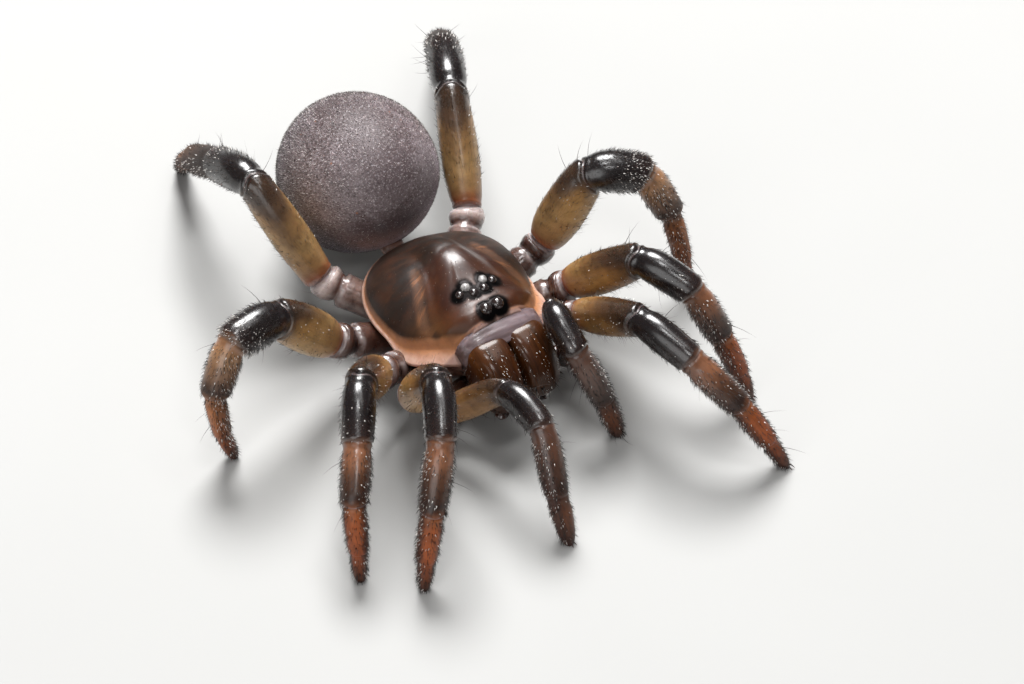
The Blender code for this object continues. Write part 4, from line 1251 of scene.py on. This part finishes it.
# The soft fold between the shield's front edge and the jaws.
fold = {
    "halfWidth": 1.84,
    "across": 120,
    "along": 26,
    "start": -3.3,
    "end": -4.16,
    "endHeight": 4.02,
    "bulge": (0.0, -0.07, 0.13),
    "thickness": (0.0, -0.2, 0.34),
}
u = np.linspace(-1, 1, fold["across"])
x = u * fold["halfWidth"]
frontTop = shieldHeight(x * 0.97, np.full_like(x, -3.36))
startLine = np.stack((x, np.full_like(x, fold["start"]), frontTop - 0.09), -1)
endY = fold["end"] + 0.22 * np.abs(u) ** 4
endLine = np.stack((x * 0.97, endY, fold["endHeight"] - 0.55 * np.abs(u) ** 5), -1)
middleLine = (startLine + endLine) / 2 + fold["bulge"]
t = np.linspace(0, 1, fold["along"])[:, None, None]
upper = (1 - t) ** 2 * startLine + 2 * t * (1 - t) * middleLine + t * t * endLine
wave = t[..., 0] * np.pi
upper[..., 2] += 0.007 * np.sin(wave * 5 + x * 0.9) + 0.004 * np.sin(wave * 9 - x * 2.0)
under = upper - fold["thickness"]
skinOver("front_fold", np.concatenate((upper, under[:, ::-1]), 1), foldSkin, "carapace")
print("body sides, plate and fold done")

# The jaws with their fangs.
jaws = {
    # y, z, pitch, half width and half height
    "stations": (
        (-3.66, 3.22, 0, 0.74, 0.92), (-3.82, 3.22, -4, 0.82, 0.99), (-4.12, 3.12, -14, 0.84, 1.04),
        (-4.48, 2.93, -27, 0.84, 1.0), (-4.78, 2.66, -42, 0.81, 0.92), (-4.97, 2.36, -56, 0.75, 0.81),
        (-5.05, 2.06, -68, 0.66, 0.67), (-5.07, 1.84, -78, 0.52, 0.52), (-5.07, 1.7, -84, 0.36, 0.36),
    ),
    "offset": 0.9,
    "rings": 96,
    "sides": 96,
    "ridgeRise": 0.03,
    "fangReach": 0.95,
    "fangStart": (-5.07, 1.5),
    "fangGirth": 0.26,
    "fangRings": 40,
    "fangSides": 28,
}


def jawFinish():
    shell = Finish("jawShell", (0.1, 0.0005, (1.0, 0.3, 0.12)),
                   **{"IOR": 1.5, "Specular IOR Level": 0.14, "Specular Tint": (1.0, 0.62, 0.4, 1.0),
                      "Coat Roughness": 0.17})
    grain = shell.spot("grain", "Vector")
    streak = shell.noise(1.0, 4.0, 0.6, grain.times((6.5, 6.5, 0.7)))
    shell.base = shell.mix(shell.step(streak, 0.3, 0.7), (0.008, 0.0022, 0.0005), (0.055, 0.0155, 0.0024))
    shell.paint(shell.spot("outer") * 0.6, (0.11, 0.035, 0.007))
    shell.paint(shell.step(shell.noise(1.6, 3.0, 0.6, grain), 0.4, 0.7) * 0.6, (0.03, 0.01, 0.006))
    shell.paint(shell.step(shell.spot("top"), 0.2, 1.0) * 0.25, (0.04, 0.011, 0.003))
    place = shell.spot("place")
    shell.paint(shell.step(place, 0.06, 0.0) * 0.8, (0.2, 0.095, 0.06))
    shell.paint(shell.step(place, 0.72, 1.0) * 0.7, (0.02, 0.008, 0.005))
    shell.give("Base Color", shell.base)
    shell.give("Roughness", 0.5 + (streak - 0.5) * 0.2)
    shell.give("Coat Weight", 0.42 - shell.step(place, 0.1, 0.0) * 0.3)
    lines = shell.bump(streak, 0.045, 0.55)
    shell.give("Normal", shell.bump(shell.noise(12.0, 3.0, 0.6, grain), 0.012, 0.4, lines))
    return shell.material


jawShell = jawFinish()
jawRows = np.array(jaws["stations"], float)
jawPlaces = np.concatenate(([0.0], np.cumsum(np.hypot(np.diff(jawRows[:, 0]), np.diff(jawRows[:, 1])))))
jawEnd = jawPlaces[-1]
jawStrands = {
    "pale": (22.0, 0.09, 0.5, 0.14, 0.58, 0.12, 0.2, 3, 2, paleGlintBristle),
    "short": (24.0, 0.26, 0.5, 0.045, 0.66, 0.12, 0.2, 3, 2, brownHair),
    "long": (3.4, 0.6, 0.5, 0.02, 0.35, 0.25, 0.2, 3, 4, darkBristle),
    "thorn": bodyStrands["thorn"],
}
jawCoat = coatTree("jawCoat", **jawStrands)


def jawSkin(side, word):
    s = np.linspace(0, jawEnd, jaws["rings"])
    y, z, pitch, wide, tall = (smoothCurve(np.stack((jawPlaces, jawRows[:, k]), -1), s) for k in range(5))
    ways = np.array([(0.0, -math.cos(p), math.sin(p)) for p in np.radians(pitch)])
    line = np.stack((np.full_like(y, jaws["offset"] * side), y, z), -1)
    # square in section at the base, rounder further on, and flatter where the two jaws meet
    boxy = (1 - rise(s, 0.15, 1.2))[:, None, None]

    def section(wider, squareness):
        return ovalRings(line, ways, wide * wider, tall, jaws["sides"], squareness=squareness)

    rings = section(1.0, 2.15) * (1 - boxy) + section(1.0, 2.7) * boxy
    meeting = section(1.05, 3.6) * (1 - boxy) + section(1.055, 5.5) * boxy
    rings = np.where((rings[..., 0] * side < jaws["offset"])[..., None], meeting, rings)
    # two low lengthwise ridges on top
    turn = 2 * np.pi * (np.arange(jaws["sides"]) + 0.5) / jaws["sides"]
    ridges = jaws["ridgeRise"] * (bell(np.sin(turn) - 0.92, 0.1) + 0.7 * bell(np.sin(turn) - 0.62, 0.1))
    taper = smoothStep(s / 0.5) * rise(-s, -jawEnd, 0.7)
    hinge = rings.mean(1, keepdims=True)
    rings = hinge + (rings - hinge) * (1 + ridges[None, :, None] * taper[:, None, None])
    whole = np.ones(rings.shape[:2])
    upside = -1 if rings[10, :, 2].argmax() > jaws["sides"] // 2 else 1
    top = upside * np.sin(turn) * whole
    inner = np.cos(turn) * side * whole
    place = (s / jawEnd)[:, None] * whole
    rows = rise(np.sin(np.arcsin(np.clip(top, -1, 1)) * 9), 0.2, 0.4)
    clear = rise(place, 0.06, 0.1)
    spots = {
        "place": place,
        "top": top,
        "grain": np.stack((rings[..., 0], top * 0.9, s[:, None] * whole), -1),
        "flow": np.repeat(ways[:, None, :], jaws["sides"], 1),
        "outer": rise(inner, 0.35, 0.5) * rise(top, -0.5, 0.6) * (1 - rise(place, 0.25, 0.3)),
        "pale": rows * rise(top, -0.1, 0.5) * clear,
        "short": (0.25 + 0.75 * rise(-top, -0.3, 0.6)) * clear,
        "long": clear * (0.3 + bell(place - 0.8, 0.25)),
        "thorn": bell(place - 0.8, 0.1) * rise(top, 0.25, 0.3),
    }
    return skinOver("jaw_" + word + "_skin", rings, jawShell, "chelicera", ["chelicera_" + word], spots)


def fangRings(side):
    share = np.linspace(0, 0.995, jaws["fangRings"])
    swing = np.radians(5 + 95 * share)
    reach = jaws["fangReach"]
    startY, startZ = jaws["fangStart"]
    x = (jaws["offset"] - 0.12 * share) * side
    z = startZ - reach * (0.3 * np.sin(swing) + 0.1 * share)
    line = np.stack((x, startY + reach * (1 - np.cos(swing)), z), -1)
    ways = [unit(way) for way in np.gradient(line, axis=0)]
    girth = jaws["fangGirth"] * (1 - share ** 1.4) + 0.03
    return ovalRings(line, ways, girth, girth, jaws["fangSides"])


for side, word in ((1, "left"), (-1, "right")):
    jawPiece = jawSkin(side, word)
    growCoat(jawPiece, jawCoat, "jaw_" + word + "_bristles", "chelicera", 73 + side)
    skinOver("fang_" + word + "_skin", fangRings(side), fangShell, "fang", ["fang_" + word])
print("jaws done")

# The hind body: a velvety globe on a short waist, with two spinnerets.
globe = {
    "centre": (0.15, 6.53, 3.98),
    "half": (3.12, 3.26, 3.25),
    "frontLift": 0.42,
    "sides": 150,
    "rings": 110,
}


def globeFinish():
    skin = Finish("hindBodySkin", (0.12, 0.0006, (1.0, 0.5, 0.35)),
                  **{"IOR": 1.45, "Sheen Weight": 0.35, "Sheen Roughness": 0.35,
                     "Sheen Tint": (0.8, 0.72, 0.86, 1.0)})
    x, y, z = skin.axes()
    sideways = skin.node("ShaderNodeMath", {"operation": "ABSOLUTE"}, {0: x - 0.1})
    # painted light and shade: the base is lighter towards the top, the back and the sides, darker low down
    high = skin.step(z + y * 0.34 + sideways * 0.62, 4.4, 8.0)
    clouds = skin.noise(0.62, 5.0, 0.62, None, 0.5)
    skin.base = skin.mix(high, (0.011, 0.005, 0.003), (0.18, 0.142, 0.148))
    skin.paint(skin.step(clouds, 0.42, 0.62) * 0.78, (0.052, 0.028, 0.028))
    flank = skin.step(sideways, 1.6, 3.4) * skin.step(z, 2.2, 4.2)
    skin.paint(flank * 0.5, (0.3, 0.205, 0.175))
    medial = skin.step(sideways + (clouds - 0.5) * 2.4, 1.7, 0.5) * skin.step(z, 5.0, 6.2)
    skin.paint(medial * skin.step(y, 8.2, 7.0) * 0.76, (0.066, 0.044, 0.047))
    stipple = skin.noise(11.0, 4.0, 0.75)
    # pale specks, most on the painted-lit top: partly real stipple, partly painted sparkle
    skin.paint(skin.step(stipple, 0.54, 0.7) * (high * 0.55 + 0.1), (0.62, 0.56, 0.57))
    skin.paint(skin.step(stipple, 0.48, 0.34) * 0.6, (0.022, 0.012, 0.011))
    skin.paint(skin.step(skin.cells(1.4), 0.09, 0.04) * 0.7, (0.26, 0.09, 0.035))
    waistward = skin.step(y, 4.7, 3.6) * skin.step(z, 4.3, 2.6)
    skin.paint(waistward * 0.8, (0.34, 0.17, 0.125))
    # two pairs of pale lung covers under the globe
    for lungY, share in ((5.0, 1.0), (6.3, 0.8)):
        far = (sideways - 1.05) * (sideways - 1.05) * 0.9 + (y - lungY) * (y - lungY) * 3.2
        skin.paint(skin.step(far, 0.55, 0.25) * skin.step(z, 2.6, 2.1) * 0.7 * share, (0.26, 0.19, 0.155))
    skin.give("Base Color", skin.base)
    skin.give("Roughness", 0.5 + (stipple - 0.5) * 0.25)
    wrinkles = skin.noise(2.2, 5.0, 0.62, skin.here.times((1.0, 0.6, 1.0)), 0.6)
    below = skin.bump(wrinkles, 0.06, 0.35)
    skin.give("Normal", skin.bump(stipple, 0.035, 0.6, below))
    return skin.material


a = np.linspace(0.02, np.pi - 0.02, globe["rings"])[:, None]
t = 2 * np.pi * np.arange(globe["sides"]) / globe["sides"]
girth = np.sin(a) * (1 - 0.03 * smoothStep(-np.cos(a)))
centre, half = np.array(globe["centre"]), np.array(globe["half"])
rings = np.stack((
    centre[0] + half[0] * girth * np.cos(t),
    (centre[1] - half[1] * np.cos(a)) * np.ones_like(t),
    centre[2] + half[2] * girth * np.sin(t)), -1)
outward = (rings - centre) / half
ox, oy, oz = outward[..., 0], outward[..., 1], outward[..., 2]
rings[..., 2] += globe["frontLift"] * smoothStep(-oy) + 0.16 * np.maximum(0, -oz) ** 2 * (1 - oy ** 2)
ripple = 0.012 * np.sin(oy * 19 + 2 * np.sin(ox * 5)) * rise(-oz, -0.2, 0.8)
furrow = -0.1 * bell(rings[..., 1] - 5.75 - 0.12 * ox ** 2, 0.1) * rise(-oz, 0.45, 0.3)
rings = rings + outward * (ripple + furrow)[..., None]
whole = np.ones_like(oy)
flow = np.stack((ox * 0.2, whole, -0.45 - 0.3 * oz), -1)
flow /= np.linalg.norm(flow, axis=-1, keepdims=True)
spots = {
    "flow": flow,
    "pile": 0.25 + 0.75 * rise(oz + oy * 0.2, -0.75, 1.1),
    "dark": whole,
    "long": 0.4 + 0.6 * rise(oy, 0.2, 0.5),
}
globePiece = skinOver("hind_body_skin", rings, globeFinish(), "abdomen", ["abdomen"], spots)
paleStrands = {"pile": (240.0, 0.12, 0.5, 0.11, 0.66, 0.1, 0.35, 3, 1, greyHair)}
darkStrands = {
    "dark": (170.0, 0.13, 0.5, 0.05, 0.6, 0.1, 0.3, 3, 1, brownHair),
    "long": (1.2, 0.24, 0.4, 0.03, 0.55, 0.2, 0.2, 3, 3, darkBristle),
}
growCoat(globePiece, coatTree("palePile", **paleStrands), "hind_body_pale_pile", "abdomen", 81)
growCoat(globePiece, coatTree("darkPile", **darkStrands), "hind_body_dark_pile", "abdomen", 82)

waist = {
    "line": ((0.0, 2.4, 1.94), (0.05, 4.15, 2.36)),
    "halfWidth": 0.52,
    "halfHeight": 0.34,
    "sides": 44,
    "rings": 40,
}
start, end = np.array(waist["line"])
s = np.linspace(0, 1, waist["rings"])
girth = 1 - 0.16 * np.sin(np.pi * s) + 0.02 * np.sin(s * 40)
line = start + (end - start) * s[:, None]
ways = [unit(end - start)] * len(s)
rings = ovalRings(line, ways, waist["halfWidth"] * girth, waist["halfHeight"] * girth, waist["sides"])
skinOver("waist_skin", rings, softSkin, "pedicel", ["pedicel"])

spinner = {
    "way": (0.16, 0.82, -0.55),
    "apart": 0.1,
    "start": 3.18,
    "length": 1.39,
    # share of the length, half width
    "girth": ((0, 0.25), (0.2, 0.31), (0.42, 0.3), (0.62, 0.25), (0.8, 0.2), (0.93, 0.15), (1.0, 0.09)),
    "rings": 60,
    "sides": 36,
}
for side, word in ((1, "left"), (-1, "right")):
    way = unit(np.array(spinner["way"]) * (side, 1, 1))
    begin = centre + np.array((spinner["apart"] * side, 0, 0)) + way * spinner["start"]
    s = np.linspace(0, 1, spinner["rings"])
    creases = 1 - 0.14 * bell(s - 0.48, 0.018) - 0.14 * bell(s - 0.76, 0.018)
    girth = smoothCurve(spinner["girth"], s) * creases
    line = begin + way * (s * spinner["length"])[:, None]
    rings = ovalRings(line, [way] * len(s), girth, girth, spinner["sides"])
    whole = np.ones(rings.shape[:2])
    spots = {"short": whole * 1.6, "long": whole, "flow": whole[..., None] * way}
    node = "spinneret_" + word
    piece = skinOver(node + "_skin", rings, spinnerSkin, "spinneret", [node], spots)
    growCoat(piece, bodyCoat, node + "_bristles", "spinneret", 91 + side)
print("hind body done")

# A pair of small hooked claws at the tip of each limb.
claws = {
    "length": 0.26,
    "start": 0.03,
    "apart": 0.1,
    "girth": 0.032,
    "height": 0.16,
    "sides": 8,
    "rings": 10,
}
points, faces, corners = [], [], []
s = np.linspace(0, 1, claws["rings"])
for hip, tip in limbTips:
    ahead = unit((tip - hip) * (1, 1, 0))
    sideways = np.cross(ahead, (0, 0, 1))
    for k in (-1, 1):
        line = tip + ahead * (claws["start"] + claws["length"] * np.sin(s * 1.35))[:, None]
        line = line + sideways * (k * claws["apart"] * (0.5 + 0.4 * s))[:, None]
        line[:, 2] = claws["height"] - 0.12 * s ** 1.8
        ways = [unit(way) for way in np.gradient(line, axis=0)]
        girth = claws["girth"] * (1 - 0.85 * s ** 1.2)
        tube = ovalRings(line, ways, girth, girth * 1.25, claws["sides"], sideways)
        morePoints, moreFaces, moreCorners = loft(tube)
        faces += [[v + len(points) for v in face] for face in moreFaces]
        points += list(morePoints)
        corners += list(moreCorners)
settle(makePiece("claws", points, faces, fangShell, {}, corners), "foot")
print("claws done")

# Camera, floor and light.
photo = {
    "azimuth": -33.5,
    "elevation": 46.0,
    "distance": 210.0,
    "pixelsPerMm": 26.0,
    "middlePixel": (447.6, 349.2),
    "size": (1024, 684),
    "sensor": 36,
}
a = math.radians(photo["azimuth"])
e = math.radians(photo["elevation"])
backward = Vector((math.sin(a) * math.cos(e), -math.cos(a) * math.cos(e), math.sin(e)))
rightward = Vector((math.cos(a), math.sin(a), 0))
turned = Matrix((rightward, backward.cross(rightward), backward)).transposed().to_4x4()
photoWide, photoTall = photo["size"]
camera = bpy.data.cameras.new("camera")
camera.sensor_width = photo["sensor"]
camera.lens = photo["sensor"] * photo["distance"] * photo["pixelsPerMm"] / photoWide
camera.shift_x = -(photo["middlePixel"][0] - photoWide / 2) / photoWide
camera.shift_y = (photo["middlePixel"][1] - photoTall / 2) / photoWide
camera.clip_start = 0.005
camera.clip_end = 20
viewer = placed("camera", camera)
viewer.matrix_world = Matrix.Translation(Vector(middle) + backward * photo["distance"] * mm) @ turned
bpy.context.scene.camera = viewer

floorHalf = 1.5
floorFinish = Finish("paleFloor", Roughness=0.7)
floorTone = floorFinish.mix(floorFinish.noise(0.05, 2.0), (0.34, 0.338, 0.33), (0.37, 0.368, 0.36))
floorFinish.give("Base Color", floorTone)
floorMesh = bpy.data.meshes.new("floor")
floorCorners = [(x * floorHalf, y * floorHalf, 0) for x, y in ((-1, -1), (1, -1), (1, 1), (-1, 1))]
floorMesh.from_pydata(floorCorners, [], [(0, 1, 2, 3)])
floorMesh.materials.append(floorFinish.material)
floor = placed("floor", floorMesh)

lights = {
    # direction the light comes from, distance, length, width and power
    "keyLight": ((0.24, 0.46, 0.85), 0.24, 0.12, 0.12, 1.2),
    "topLight": ((0.33, 0.02, 0.93), 0.26, 0.22, 0.045, 0.1),
    "highLight": ((-0.05, -0.12, 0.99), 0.25, 0.05, 0.05, 0.14),
    "frontLight": ((-0.15, -0.55, 0.86), 0.25, 0.045, 0.045, 0.085),
    "sideLight": ((-0.8, -0.5, 0.4), 0.34, 0.3, 0.3, 0.54),
}
for name, (way, distance, length, width, power) in lights.items():
    lamp = bpy.data.lights.new(name, "AREA")
    lamp.shape = "ELLIPSE"
    lamp.size = length
    lamp.size_y = width
    lamp.energy = power
    way = Vector(way).normalized()
    aimed = way.to_track_quat("Z", "Y").to_matrix().to_4x4()
    placed(name, lamp).matrix_world = Matrix.Translation(Vector(middle) + way * distance) @ aimed
bpy.context.scene.view_settings.view_transform = "Standard"
world = bpy.data.worlds.new("studio")
bpy.context.scene.world = world
world.use_nodes = True
sky = world.node_tree.nodes["Background"]
sky.inputs[0].default_value = (0.97, 0.98, 1.0, 1.0)
sky.inputs[1].default_value = 0.15
